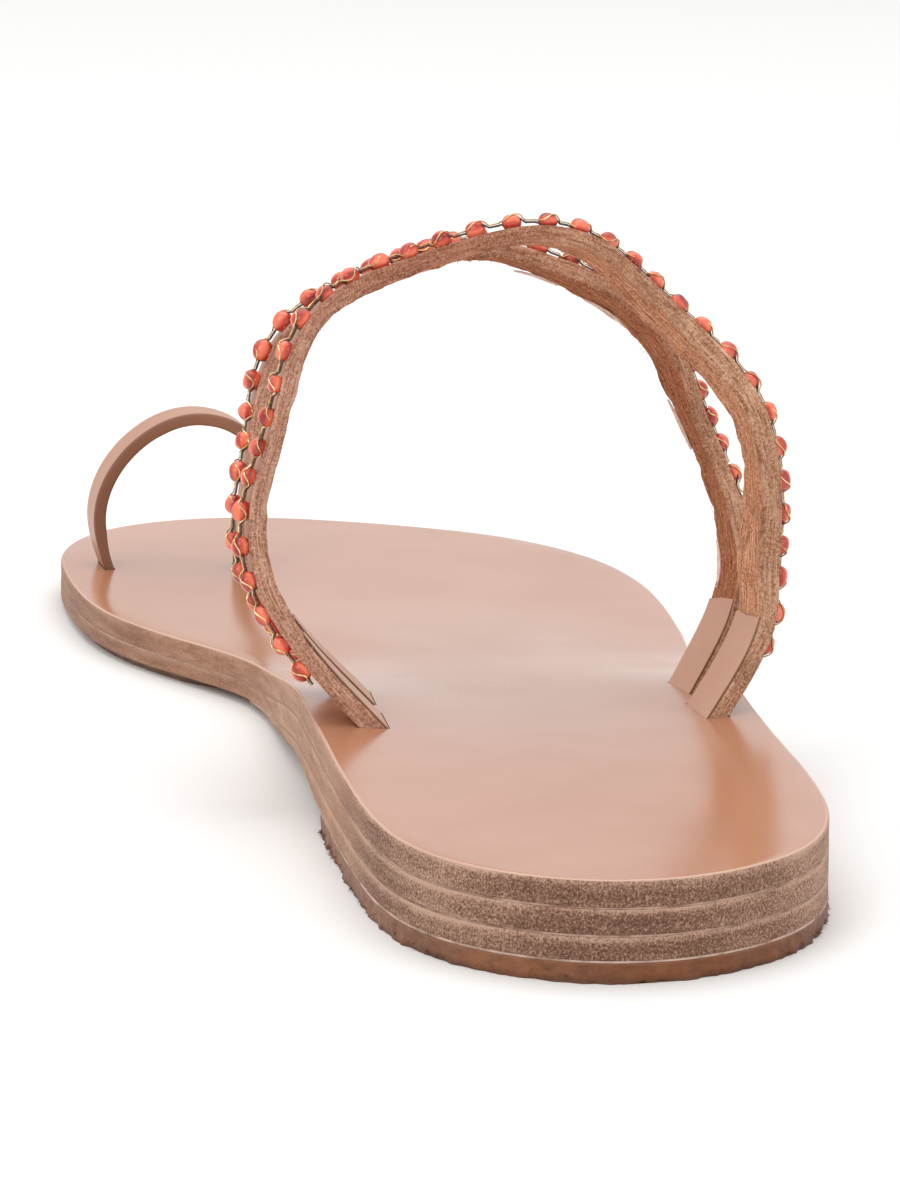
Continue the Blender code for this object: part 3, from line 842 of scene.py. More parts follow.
def coral(name, tones, cloudy):
    """Glossy coral glass, each bead a little different."""
    look = Look(name)
    clouds = look.noise(look.place(), scale=700.0, detail=2.0)
    look.colour = look.ramp(look.tint(), (0.0, 0.5, 1.0), tones)
    look.stain(look.spread(clouds, 0.5, 0.8, 0.3), cloudy)
    look.set(
        Roughness=look.spread(clouds, 0.2, 0.8, low=0.16, high=0.3),
        Coat_Weight=0.4,
        Coat_Roughness=0.08,
        Subsurface_Weight=0.06,
        Subsurface_Radius=(0.0009, 0.0003, 0.0002),
    )


def two_tone(name, scale, positions, tones):
    """A look of two tones over a noise, and that noise."""
    look = Look(name)
    clouds = look.noise(look.place(), scale, detail=2.0)
    look.colour = look.ramp(clouds, positions, tones)
    return look, clouds


def loose_fibre(name, *tones):
    """Loose leather fibres and peeled slivers."""
    look, _ = two_tone(name, 800.0, (0.35, 0.65), tones)
    look.set(Roughness=0.8)


def gold(name, *tones):
    """Worn gold-coloured wire."""
    look, wear = two_tone(name, 1200.0, (0.3, 0.65), tones)
    look.set(Metallic=1.0, Roughness=look.spread(wear, 0.3, 0.7, low=0.42, high=0.22))


def dark_thread(name, *tones):
    """Dark brown waxed thread."""
    look, twist = two_tone(name, 2600.0, (0.35, 0.7), tones)
    look.set(Roughness=0.55, Normal=look.bump(twist, depth=0.00006))


def pale_floor(name, *tones):
    """Plain pale studio floor."""
    look, _ = two_tone(name, 3.0, (0.3, 0.7), tones)
    look.set(Roughness=0.8)


def make_leathers():
    """The smooth leathers: pale and deep colour, roughness and coat."""
    smooth_leather("insole_leather", (0.475, 0.21, 0.115), (0.43, 0.18, 0.09), 0.2, 0.35)
    # The rim leather is paler than the footbed: a painted highlight on the rolled top edge of the insole.
    smooth_leather("insole_rim_highlight", (0.62, 0.40, 0.305), (0.54, 0.325, 0.235), 0.45, 0.0)
    smooth_leather("strap_face", (0.42, 0.205, 0.128), (0.33, 0.148, 0.085), 0.62, 0.0)
    smooth_leather("lining_leather", (0.60, 0.345, 0.245), (0.53, 0.285, 0.19), 0.5, 0.0)
    smooth_leather("lining_edge", (0.33, 0.165, 0.105), (0.17, 0.077, 0.046), 0.7, 0.0)
    smooth_leather("loop_face", (0.49, 0.245, 0.155), (0.41, 0.19, 0.113), 0.4, 0.1)
    smooth_leather("loop_edge", (0.26, 0.108, 0.057), (0.17, 0.066, 0.034), 0.5, 0.0)


def make_sole_looks():
    """The cut edge of the sole, its glue lines and rubbers, colours from dark to pale."""
    rough = ((0.092, 0.043, 0.027), (0.20, 0.10, 0.064), (0.48, 0.305, 0.22))
    burnished = ((0.245, 0.122, 0.068), (0.365, 0.186, 0.106), (0.52, 0.30, 0.191))
    cut_edge("sole_edge", rough, burnished)
    glue_line("glue_line")
    rubber("heel_rubber", (0.125, 0.04, 0.013), (0.28, 0.09, 0.028), (0.28, 0.13, 0.072))
    rubber("tread_rubber", (0.11, 0.06, 0.037), (0.17, 0.095, 0.06), (0.22, 0.135, 0.09))


def make_strip_looks():
    """The rough sides of the strips with their tones along the band, a copy darkened as painted shade for the
    front strip, and their loose fibres.
    """
    flesh = ((0.20, 0.072, 0.03), (0.56, 0.245, 0.117), (0.95, 0.62, 0.43))
    cut = ((0.28, 0.122, 0.068), (0.49, 0.245, 0.15), (0.76, 0.49, 0.365))
    cut_along = ((0.87, 0.88, 0.83), (0.87, 0.86, 0.8), (0.69, 0.52, 0.48), (0.92, 0.9, 0.92))
    suede("strap_suede", flesh, 0.48, (0.0, 1.0), ((1.0, 1.0, 1.0), (0.94, 0.9, 0.88)))
    # Suede copy darkened along the band: painted shade on the front strip, which lies in the shade of the
    # back strip.
    suede("strap_suede_painted_shade", flesh, 0.48, (0.0, 1.0), ((0.64, 0.48, 0.39), (0.76, 0.64, 0.56)))
    suede("strap_cut_edge", cut, 0.45, (0.0, 0.35, 0.55, 0.72), cut_along)
    loose_fibre("loose_fibre", (0.40, 0.235, 0.165), (0.72, 0.53, 0.43))
    loose_fibre("peeled_sliver", (0.66, 0.48, 0.39), (0.86, 0.74, 0.66))


def make_bead_looks():
    """The beads, their wire and their thread, colours from dark to pale."""
    glass = ((0.27, 0.013, 0.005), (0.60, 0.055, 0.022), (0.85, 0.18, 0.09))
    coral("coral_bead", glass, (0.88, 0.23, 0.125))
    gold("gold_wire", (0.45, 0.27, 0.10), (0.93, 0.70, 0.38))
    dark_thread("dark_thread", (0.035, 0.016, 0.009), (0.16, 0.075, 0.04))


def add_object(name, data):
    """A new object in the scene."""
    made = bpy.data.objects.new(name, data)
    bpy.context.scene.collection.objects.link(made)
    return made


def dress(name, points, faces, looks, face_looks=None):
    """A named mesh piece from points in millimetres, with its materials."""
    mesh = bpy.data.meshes.new(name)
    mesh.from_pydata(((np.asarray(points) + SHIFT) * MM).tolist(), [], faces)
    for look in looks:
        mesh.materials.append(LOOKS[look])
    if face_looks is not None:
        mesh.polygons.foreach_set("material_index", face_looks)
    work = bmesh.new()
    work.from_mesh(mesh)
    bmesh.ops.recalc_face_normals(work, faces=work.faces[:])
    work.to_mesh(mesh)
    work.free()
    soften(mesh)
    return add_object(name, mesh)


def soften(mesh):
    """Smooth shading with sharp edges above an angle."""
    mesh.polygons.foreach_set("use_smooth", [True] * len(mesh.polygons))
    mesh.set_sharp_from_angle(angle=math.radians(SHARP_ANGLE))


def settle(piece, slot, *nodes):
    """Let a piece ride and stand for solids; the slot it is given is not used."""
    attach(piece, BODY)
    if nodes:
        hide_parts(*nodes)


def store_tint(mesh, values):
    """Keep a share at each point for the materials."""
    layer = mesh.attributes.new("tint", "FLOAT", "POINT")
    layer.data.foreach_set("value", np.asarray(values, np.float32))


def store_even_tint(mesh):
    """Keep the middle of a rubber layer as the share at every point."""
    store_tint(mesh, np.full(len(mesh.vertices), RUBBER_MIDDLE))


def store_strip_place(mesh, s, around):
    """Keep the distance along and around the strip, in centimetres, as its map."""
    layer = mesh.uv_layers.new(name="strip")
    vertex = np.zeros(len(mesh.loops), np.int32)
    mesh.loops.foreach_get("vertex_index", vertex)
    places = together(s[vertex // len(around)], around[vertex % len(around)]) * CM_PER_MM
    layer.data.foreach_set("uv", places.astype(np.float32).ravel())


def ring_points(columns):
    """Points of rings from their columns along a piece."""
    return np.stack(columns, axis=1).reshape(-1, 3)


def ring_faces(rings, size, start=0):
    """Faces between neighbouring closed rings of points."""
    faces = []
    for low in range(start, start + (rings - 1) * size, size):
        for i in range(size):
            j = (i + 1) % size
            faces.append((low + i, low + j, low + size + j, low + size + i))
    return faces


def tube_faces(rings, size, start=0):
    """Faces of a tube of rings, with a lid at both ends."""
    lids = [tuple(range(low, low + size)) for low in (start, start + (rings - 1) * size)]
    return ring_faces(rings, size, start) + lids


def lid_faces(stations, start=0):
    """Faces across a ring that runs along one side and back along the other."""
    last = start + 2 * stations - 1
    return [(start + i, start + i + 1, last - i - 1, last - i) for i in range(stations - 1)]


def quarter_turns(steps):
    """Cosine and sine of evenly spaced angles from nought to a right angle."""
    turns = [0.5 * math.pi * k / steps for k in range(steps + 1)]
    return [(math.cos(turn), math.sin(turn)) for turn in turns]


def wall_levels(under, top, inset, under_round, top_round):
    """Rings from the underside to the top: an inset and a height profile each."""
    low = raised(under, under_round)
    high = raised(top, -top_round)
    rings = []
    for cos, sin in quarter_turns(ROUND_STEPS):
        rings.append((inset + under_round * (1.0 - sin), raised(under, under_round * (1.0 - cos))))
    for k in range(1, WALL_STEPS):
        rings.append((inset, between(low, high, k / WALL_STEPS)))
    for cos, sin in quarter_turns(ROUND_STEPS):
        rings.append((inset + top_round * (1.0 - cos), raised(top, top_round * (sin - 1.0))))
    return rings


def station_share(end_y):
    """Shares along a layer, crowded at its round ends."""
    share = np.linspace(0.0, 1.0, SOLE_STATIONS)
    if end_y is None:
        return 0.5 * (1.0 - np.cos(np.pi * share))
    return 1.0 - np.cos(0.5 * np.pi * share)


def roughen(points, amount, size, seed):
    """Move wall points in and out from the middle line of the sole by noise."""
    y = points[:, 1]
    spine_y = np.clip(y, SPINE_START_Y, SPINE_END_Y)
    away = unit(points[:, :2] - together(SPINE_LEAN * (y - spine_y), spine_y))
    moved = points.copy()
    moved[:, :2] += away * (amount * soft_noise(points, size, seed))[:, None]
    return moved


def wall_ring(inset, profile, end_y, roughness, lowness):
    """One ring of a layer's wall, along the little-toe side and back along the other."""
    lateral, medial = sole_edges(inset)
    first = lateral[0, 1]
    last = lateral[-1, 1] if end_y is None else end_y
    y = mix(first, last, station_share(end_y))
    z = profile(y)
    there = together(edge_x(lateral, y) + TIP_HALF_GAP, y, z)
    back = together(edge_x(medial, y) - TIP_HALF_GAP, y, z)
    ring = np.vstack([there, back[::-1]])
    for amount, size, fades, seed in roughness:
        ring = roughen(ring, amount * (lowness if fades else 1.0), size, seed)
    return ring


def insole_sag(y):
    """How far the middle of the insole lies from its edge line over the waist."""
    reach = np.linspace(-INSOLE_EASE, INSOLE_EASE, SAG_STEPS)
    levelled = np.mean([INSOLE_TOP(np.clip(y + step, 0.0, LENGTH)) for step in reach], axis=0)
    return levelled - INSOLE_TOP(y)


def top_points(rim, sag):
    """Points between the two sides of the uppermost ring, one row per station."""
    start = rim[:SOLE_STATIONS]
    end = rim[:SOLE_STATIONS - 1:-1]
    across = np.linspace(0.0, 1.0, SOLE_COLUMNS + 1)[1:-1]
    points = mix(start[:, None], end[:, None], across[:, None])
    eased = smooth_step(EASE_SLOPE * np.minimum(across, 1.0 - across))
    points[:, :, 2] += sag(start[:, 1])[:, None] * eased
    return points


def layer_faces(count, grid, rim_slot):
    """Faces of a layer's wall rings, underside and top grid, with the slot of each."""
    faces = ring_faces(count, 2 * SOLE_STATIONS)
    wall = (count - 1 - ROUND_STEPS // 2) * 2 * SOLE_STATIONS
    slots = [1] * wall + [rim_slot] * (len(faces) - wall)
    for number, row in ((-1 - SOLE_STATIONS, grid[-1, ::-1]), (-1, grid[0])):
        faces[number] = (*faces[number][:2], *row.tolist())
    under = lid_faces(SOLE_STATIONS)
    cells = np.stack([grid[:-1, :-1], grid[:-1, 1:], grid[1:, 1:], grid[1:, :-1]], axis=2).reshape(-1, 4)
    return faces + under + cells.tolist(), slots + [1] * len(under) + [0] * len(cells)


def sole_piece(name, under, top, end_y, inset, looks, rounds=(JOINT_ROUND, JOINT_ROUND),
               roughness=SOLE_WANDER, sag=level(0.0)):
    """A layer of the sole with rounded, slightly uneven walls and a finely divided top."""
    levels = wall_levels(under, top, inset, *rounds)
    count = len(levels)
    rings = []
    for number, (ring_inset, profile) in enumerate(levels):
        rings.append(wall_ring(ring_inset, profile, end_y, roughness, 1.0 - number / count))
    points = np.vstack([*rings, top_points(rings[-1], sag).reshape(-1, 3)])
    numbers = np.arange(len(points))
    rim = numbers[(count - 1) * 2 * SOLE_STATIONS:count * 2 * SOLE_STATIONS]
    inner = numbers[count * 2 * SOLE_STATIONS:].reshape(SOLE_STATIONS, -1)
    grid = np.column_stack([rim[:SOLE_STATIONS], inner, rim[:SOLE_STATIONS - 1:-1]])
    faces, slots = layer_faces(count, grid, len(looks) - 1)
    piece = dress(name, points, faces, looks, slots)
    low = under(points[:, 1])
    store_tint(piece.data, np.clip((points[:, 2] - low) / (top(points[:, 1]) - low), 0.0, 1.0))
    return piece


def strip_section(corner):
    """Points around a strip: place across, inset, share of the thickness, lift and surface."""
    turns = quarter_turns(CORNER_STEPS)[1:-1]
    section = []
    for sense, start, surface in ((1.0, 1.0, 0), (-1.0, 0.0, 2)):
        for u in np.linspace(-1.0, 1.0, FACE_STEPS):
            section.append((sense * u, corner, start, 0.0, surface))
        for cos, sin in turns:
            section.append((sense, corner * (1.0 - sin), start, -sense * corner * (1.0 - cos), 1))
        for u in np.linspace(0.0, 1.0, EDGE_STEPS):
            section.append((sense, 0.0, start - sense * u, sense * corner * (2.0 * u - 1.0), 1))
        for cos, sin in turns:
            section.append((sense, corner * (1.0 - cos), start - sense, sense * corner * (1.0 - sin), 1))
    return section


def strip_piece(name, ribbon, s, centre, half_width, layers, corner, looks, uneven_by, frayed=None):
    """A flat strip along a ribbon with rounded corners, uneven cut edges and three surfaces."""
    section = strip_section(corner)
    low, high = layers
    wobble, ripple, nap = uneven_by
    hold = smooth_step((ribbon.from_foot(s) - STEADY_FOOT) / STEADY_EASE)
    lifted = ripple * hold * layered_noise(together(s, RIPPLE_PLACE + centre[0], 0.0), RIPPLE_NOISE)
    columns = []
    for place, inset, share, lift, _ in section:
        edge = together(s, EDGES_APART * place + centre[0], FACES_APART * share)
        uneven = wobble * hold * layered_noise(edge, WOBBLE_NOISE)
        rough = nap * hold * (1.0 - share) * layered_noise(edge, NAP_NOISE)
        out = mix(low, high, share) + lift + rough + lifted
        run = s if frayed is None else s + frayed(s, place)
        columns.append(ribbon.point(run, centre + place * (half_width - inset + uneven), out))
    surfaces = [row[-1] for row in section]
    ring_slots = [a if a == b else 1 for a, b in zip(surfaces, surfaces[1:] + surfaces[:1])]
    slots = ring_slots * (len(s) - 1) + [0, 0]
    piece = dress(name, ring_points(columns), tube_faces(len(s), len(section)), looks, slots)
    thickness = np.mean(high - low)
    around = run_along(np.array([(np.mean(half_width) * row[0], thickness * row[2]) for row in section]))
    store_strip_place(piece.data, s, around)
    return piece


def slot_cutter(ribbon, s, centre, half_width, low, high):
    """A closed cutter for the slot of one strip foot."""
    wide = half_width + SLOT_ROOM
    corners = ((-1.0, low), (1.0, low), (1.0, high), (-1.0, high))
    columns = [ribbon.point(s, centre + place * wide, out) for place, out in corners]
    return dress("slot", ring_points(columns), tube_faces(len(s), len(corners)), ("sole_edge",))


def slot_cutters():
    """Cutters for the four strip feet and the two toe loop feet."""
    cutters = []
    for s in BAND.foot_runs(SLOT_BELOW, SLOT_ABOVE, SLOT_STEPS):
        for side in (BACK, FRONT):
            middle, width = strip_wave(s, side)
            low = lining_layers(s, side)[0] - SLOT_ROOM
            high = strip_layers(s, side)[1] + SLOT_ROOM
            cutters.append(slot_cutter(BAND, s, middle, width, low, high))
    for s in LOOP.foot_runs(SLOT_BELOW, SLOT_ABOVE, SLOT_STEPS):
        half = 0.5 * LOOP_THICKNESS + SLOT_ROOM
        cutters.append(slot_cutter(LOOP, s, np.zeros(len(s)), 0.5 * LOOP_WIDTH, -half, half))
    return cutters


def cut_away(piece, cutters):
    """Cut a piece with closed cutters and keep the result as its mesh."""
    for cutter in cutters:
        modifier = piece.modifiers.new("Slot", "BOOLEAN")
        modifier.operation = "DIFFERENCE"
        modifier.solver = "EXACT"
        modifier.object = cutter
    bpy.context.view_layer.update()
    graph = bpy.context.evaluated_depsgraph_get()
    mesh = bpy.data.meshes.new_from_object(piece.evaluated_get(graph))
    piece.modifiers.clear()
    piece.data = mesh
    soften(mesh)
    for cutter in cutters:
        bpy.data.objects.remove(cutter, do_unlink=True)


def make_insole():
    """The leather footbed with its slots."""
    # The rolled top edge takes the paler rim leather, a painted highlight.
    looks = ("insole_leather", "sole_edge", "insole_rim_highlight")
    rounds = (JOINT_ROUND, INSOLE_EDGE_ROUND)
    piece = sole_piece("insole_footbed", insole_under, INSOLE_TOP, None, 0.0, looks, rounds, sag=insole_sag)
    cut_away(piece, slot_cutters())
    settle(piece, "insole_leather", "insole")


def make_midsole():
    """The leather layer under the insole."""
    looks = ("sole_edge", "sole_edge")
    piece = sole_piece("midsole_edge", MIDSOLE_UNDER, MIDSOLE_TOP, None, -MIDSOLE_FLARE, looks)
    settle(piece, "midsole_leather", "midsole")


def make_heel_lift():
    """The leather wedge under the heel and waist."""
    looks = ("sole_edge", "sole_edge")
    rounds = (LIFT_ROUND, LIFT_ROUND)
    piece = sole_piece("heel_lift_edge", thinned_lift, LIFT_TOP, LIFT_END_Y, -LIFT_FLARE, looks, rounds)
    settle(piece, "lift_leather", "heel_lift")


def make_glue_lines():
    """Dried glue between the layers of the sole."""
    cap_top = level(HEEL_CAP_TOP)
    lines = (
        ("glue_line_upper", MIDSOLE_TOP, insole_under, None, 0.0, "midsole_leather"),
        ("glue_line_middle", LIFT_TOP, MIDSOLE_UNDER, LIFT_END_Y, -MIDSOLE_FLARE, "lift_leather"),
        ("glue_line_lower", cap_top, LIFT_UNDER, HEEL_CAP_END_Y, -LIFT_FLARE, "lift_leather"),
    )
    looks = ("glue_line", "glue_line")
    rounds = (GLUE_ROUND, GLUE_ROUND)
    for name, below, above, end_y, inset, slot in lines:
        under = raised(below, GLUE_GAP)
        top = raised(above, -GLUE_GAP)
        settle(sole_piece(name, under, top, end_y, inset, looks, rounds), slot)


def make_heel_cap():
    """The rubber plate under the heel."""
    looks = ("heel_rubber", "heel_rubber")
    top = level(HEEL_CAP_TOP)
    piece = sole_piece("heel_cap_rubber", level(0.0), top, HEEL_CAP_END_Y, -HEEL_CAP_FLARE, looks,
                       roughness=CAP_WANDER)
    settle(piece, "heel_rubber", "heel_cap")


def make_tread():
    """Thin rubber pad under the ball of the foot."""
    knots, insets = np.array(TREAD_ROWS).T
    y = np.linspace(knots[0], knots[-1], TREAD_STEPS)
    inset = np.interp(y, knots, insets) + TREAD_STEP_IN
    wander = TREAD_WANDER * soft_noise(together(y, 0.0, 0.0), TREAD_WANDER_SIZE, seed=41)
    lateral, medial = sole_edges(0.0)
    lateral_x = edge_x(lateral, y) - inset + wander
    medial_x = edge_x(medial, y) + inset + wander
    levels = ((0.0, TREAD_BEVEL), (TREAD_BEVEL, 0.0), (TREAD_TOP, 0.0))
    points = []
    for z, bevel in levels:
        points.append(together(lateral_x - bevel, y, z))
        points.append(together(medial_x + bevel, y, z)[::-1])
    size = 2 * TREAD_STEPS
    top = (len(levels) - 1) * size
    faces = ring_faces(len(levels), size) + lid_faces(TREAD_STEPS) + lid_faces(TREAD_STEPS, top)
    piece = dress("forefoot_pad_rubber", np.vstack(points), faces, ("tread_rubber",))
    store_even_tint(piece.data)
    settle(piece, "tread_rubber", "forefoot_tread")


def make_straps():
    """The two wavy instep strips."""
    s = np.linspace(-STRIP_TAIL, BAND.length + STRIP_TAIL, STRIP_STEPS)
    # The front strip takes the suede copy darkened as painted shade.
    for label, side, inner in (("back", BACK, "strap_suede"), ("front", FRONT, "strap_suede_painted_shade")):
        middle, width = strip_wave(s, side)
        looks = ("strap_face", "strap_cut_edge", inner)
        piece = strip_piece("instep_strip_" + label, BAND, s, middle, width, strip_layers(s, side),
                            STRIP_CORNER, looks, STRIP_UNEVEN)
        settle(piece, "strap_leather", "instep_strap")


def blades(name, roots, ways, lengths, thickness, look):
    """Tiny pointed blades from their roots, each a closed sliver."""
    sideways = unit(np.cross(ways, np.array(BLADE_ASIDE)))
    half_side = 0.5 * thickness * sideways
    above = roots + 0.5 * thickness * np.cross(sideways, ways)
    tips = roots + ways * lengths[:, None]
    points = ring_points([roots - half_side, roots + half_side, above, tips])
    faces = []
    for start in range(0, len(points), 4):
        faces += itertools.combinations(range(start, start + 4), 3)
    return dress(name, points, faces, (look,))


def make_fuzz():
    """Short loose fibres along the cut edges of the strips."""
    chance = np.random.default_rng(seed=71)
    for label, side in (("back", BACK), ("front", FRONT)):
        s = chance.uniform(FUZZ_FREE_END, BAND.length - FUZZ_FREE_END, FUZZ_COUNT)
        middle, width = strip_wave(s, side)
        low, high = strip_layers(s, side)
        place = np.where(chance.random(FUZZ_COUNT) < 0.5, -1.0, 1.0)
        share = chance.random(FUZZ_COUNT)
        across = middle + place * width
        roots = BAND.point(s, across, mix(low, high, share))
        away = BAND.outward(s, across)
        cross = BAND.cross_at(s) * place[:, None]
        along = unit(np.cross(away, cross))
        aside = chance.uniform(*FUZZ_ASIDE, FUZZ_COUNT)
        outward = FUZZ_FAN * (share - 0.5) + chance.normal(0.0, FUZZ_STRAY_OUT, FUZZ_COUNT)
        forward = chance.normal(0.0, FUZZ_STRAY_ALONG, FUZZ_COUNT)
        ways = unit(cross * aside[:, None] + away * outward[:, None] + along * forward[:, None])
        lengths = chance.uniform(*FUZZ_LENGTH, FUZZ_COUNT)
        piece = blades("strip_fuzz_" + label, roots, ways, lengths, FUZZ_THICKNESS, "loose_fibre")
        settle(piece, "strap_leather")


def make_slivers():
    """Narrow peeled slivers on the inner face of the front strip."""
    share = np.linspace(0.0, 1.0, SLIVER_STEPS)
    half = SLIVER_HALF_WIDTH * np.sin(np.pi * np.clip(share, *SLIVER_TIPS))
    raised_by = SLIVER_LIFT + SLIVER_CURL * share ** 3
    faces = tube_faces(SLIVER_STEPS, len(SLIVER_CORNERS))
    for number, (start, end, place) in enumerate(SLIVERS, 1):
        s = np.linspace(start, end, SLIVER_STEPS)
        strip_middle, width = strip_wave(s, FRONT)
        low = strip_layers(s, FRONT)[0] - raised_by
        middle = strip_middle + place * width
        columns = [BAND.point(s, middle + edge * half, low - depth) for edge, depth in SLIVER_CORNERS]
        piece = dress("peeled_sliver_%d" % number, ring_points(columns), faces, ("peeled_sliver",))
        settle(piece, "strap_leather")


def make_cap_bits():
    """Frayed bits at the cut edge of the heel cap."""
    chance = np.random.default_rng(seed=81)
    count = FRAYED_FRONT + FRAYED_REST
    front_y = chance.uniform(FRAYED_FRONT_Y, HEEL_CAP_END_Y, FRAYED_FRONT)
    rest_y = chance.uniform(FRAYED_HEEL_Y, FRAYED_FRONT_Y, FRAYED_REST)
    y = np.concatenate([front_y, rest_y])
    rest_medial = chance.random(FRAYED_REST) < FRAYED_MEDIAL_SHARE
    on_medial = np.concatenate([np.ones(FRAYED_FRONT, bool), rest_medial])
    lateral, medial = sole_edges(-HEEL_CAP_FLARE)
    x = np.where(on_medial, edge_x(medial, y), edge_x(lateral, y))
    z = chance.uniform(*FRAYED_HEIGHT, count)
    to_heel = -np.clip((HEEL_ROUND_Y - y) / HEEL_ROUND_Y, 0.0, 1.0)
    aside = np.where(on_medial, -1.0, 1.0) * (1.0 + to_heel)
    ways = together(aside, to_heel, chance.uniform(*FRAYED_DROOP, count))
    ways = unit(ways + chance.normal(0.0, FRAYED_STRAY, (count, 3)))
    longest = (z - FRAYED_ABOVE_FLOOR) / np.maximum(FRAYED_LEAST_DROOP, -ways[:, 2])
    lengths = np.minimum(chance.uniform(*FRAYED_LENGTH, count), longest)
    piece = blades("cap_frayed_bits", together(x, y, z), ways, lengths, FRAYED_THICKNESS, "heel_rubber")
    store_even_tint(piece.data)
    settle(piece, "heel_rubber")


def worn_end(free, side):
    """How far the slanted, uneven top end of a tab is moved along the strip."""
    upward = 1.0 if free < 0.5 * BAND.length else -1.0
    by_place, by_side = TAB_UNEVEN_PLACE

    def moved(run, across):
        near = smooth_step(1.0 - np.abs(run - free) / TAB_END_REACH)
        spot = np.array([[by_place * across, by_side * side, free]])
        uneven = TAB_UNEVEN * soft_noise(spot, TAB_UNEVEN_SIZE, seed=51)[0]
        return near * (uneven + upward * TAB_SLANT * (1.0 - across))
    return moved


def make_linings():
    """Smooth tabs at the feet of the strips, with worn top ends."""
    runs = BAND.foot_runs(LINING_TAIL, LINING_LENGTH, LINING_STEPS)
    free_ends = (LINING_LENGTH, BAND.length - LINING_LENGTH)
    looks = ("lining_leather", "lining_edge", "lining_leather")
    for end, s, free in zip(("lateral", "medial"), runs, free_ends):
        for place, side in (("back", BACK), ("front", FRONT)):
            label = end + "_" + place
            piece = strip_piece("lining_tab_" + label, BAND, s, strip_wave(s, side)[0], LINING_HALF_WIDTH,
                                lining_layers(s, side), LINING_CORNER, looks, (0.0, 0.0, 0.0),
                                worn_end(free, side))
            settle(piece, "lining_leather", "lining_" + label)


def make_toe_loop():
    """Narrow strip over the big toe."""
    s = np.linspace(-LOOP_TAIL, LOOP.length + LOOP_TAIL, LOOP_STEPS)
    half = 0.5 * LOOP_THICKNESS
    clear_of_sole = smooth_step((LOOP.from_foot(s) - LOOP_INNER_START) / LOOP_INNER_EASE)
    layers = (-half - LOOP_INNER * clear_of_sole, half)
    looks = ("loop_face", "loop_edge", "loop_edge")
    piece = strip_piece("toe_loop_strip", LOOP, s, np.zeros(LOOP_STEPS), 0.5 * LOOP_WIDTH, layers,
                        LOOP_CORNER, looks, LOOP_UNEVEN)
    settle(piece, "loop_leather", "toe_loop")


def bead_line(s, side):
    """Axis of a bead row with its directions along, away from the leather and to the heel."""
    middle, width = strip_wave(s, side)
    inset = mix(BEAD_INSET_LATERAL, BEAD_INSET_MEDIAL, s / BAND.length)
    across = middle - width + inset
    out = strip_layers(s, side)[1] + BEAD_RADIUS + BEAD_SEAT
    behind, ahead = (
        BAND.point(s + step, np.interp(s + step, s, across), out) for step in (-RIBBON_STEP, RIBBON_STEP)
    )
    along = unit(ahead - behind)
    away = BAND.outward(s, across)
    heelward = unit(np.cross(along, away))
    heelward *= np.sign(-heelward[:, 1])[:, None]
    return BAND.point(s, across, out), along, away, heelward


def bead_middles():
    """Distances of the bead middles along the band."""
    count = int((BAND.length - BEAD_FREE_LATERAL - BEAD_FREE_MEDIAL) / BEAD_PITCH)
    return BEAD_FREE_LATERAL + (np.arange(count) + 0.5) * BEAD_PITCH


def make_beads(name, node, side, seed):
    """Separate glossy beads of one row."""
    chance = np.random.default_rng(seed)
    turn = np.repeat(np.pi * np.arange(BEAD_RINGS + 1) / BEAD_RINGS, BEAD_SIDES)
    spin = np.tile(2.0 * np.pi * np.arange(BEAD_SIDES) / BEAD_SIDES, BEAD_RINGS + 1)
    points = []
    faces = []
    tint = []
    for middle, along, away, heelward in zip(*bead_line(bead_middles(), side)):
        grow = 1.0 + BEAD_GROW * chance.standard_normal()
        middle = middle + BEAD_NUDGE_ACROSS * chance.standard_normal() * heelward
        middle = middle + BEAD_NUDGE_ALONG * chance.standard_normal() * along
        shade = chance.uniform(*BEAD_SHADES)
        stripes = chance.uniform(0.0, 2.0 * math.pi)
        lumps = chance.uniform(0.0, 2.0 * math.pi)
        radius = np.maximum(BEAD_HOLE, BEAD_RADIUS * grow * np.sin(turn) ** BEAD_ROUNDNESS)
        radius = radius * (1.0 + BEAD_LUMPS * np.sin(BEAD_LOBES * spin + BEAD_TWIST * turn + lumps))
        reach = BEAD_HALF_LENGTH * grow * np.cos(turn)
        faces += tube_faces(BEAD_RINGS + 1, BEAD_SIDES, len(points) * len(turn))
        parts = together(reach, radius * np.cos(spin), radius * np.sin(spin))
        points.append(middle + parts @ np.stack([along, away, heelward]))
        tint.append(shade + BEAD_STRIPES * np.sin(BEAD_LOBES * spin + stripes))
    piece = dress(name, np.vstack(points), faces, ("coral_bead",))
    store_tint(piece.data, np.concatenate(tint))
    settle(piece, "coral_beads", node)


def tube(name, path, radius, look):
    """A round wire along a path in millimetres."""
    along = unit(np.gradient(path, axis=0))
    sideways = unit(np.cross(along, np.array(WIRE_ASIDE)))
    upward = np.cross(sideways, along)
    columns = []
    for spin in 2.0 * np.pi * np.arange(WIRE_SIDES) / WIRE_SIDES:
        columns.append(path + radius * (math.cos(spin) * sideways + math.sin(spin) * upward))
    return dress(name, ring_points(columns), tube_faces(len(path), WIRE_SIDES), (look,))


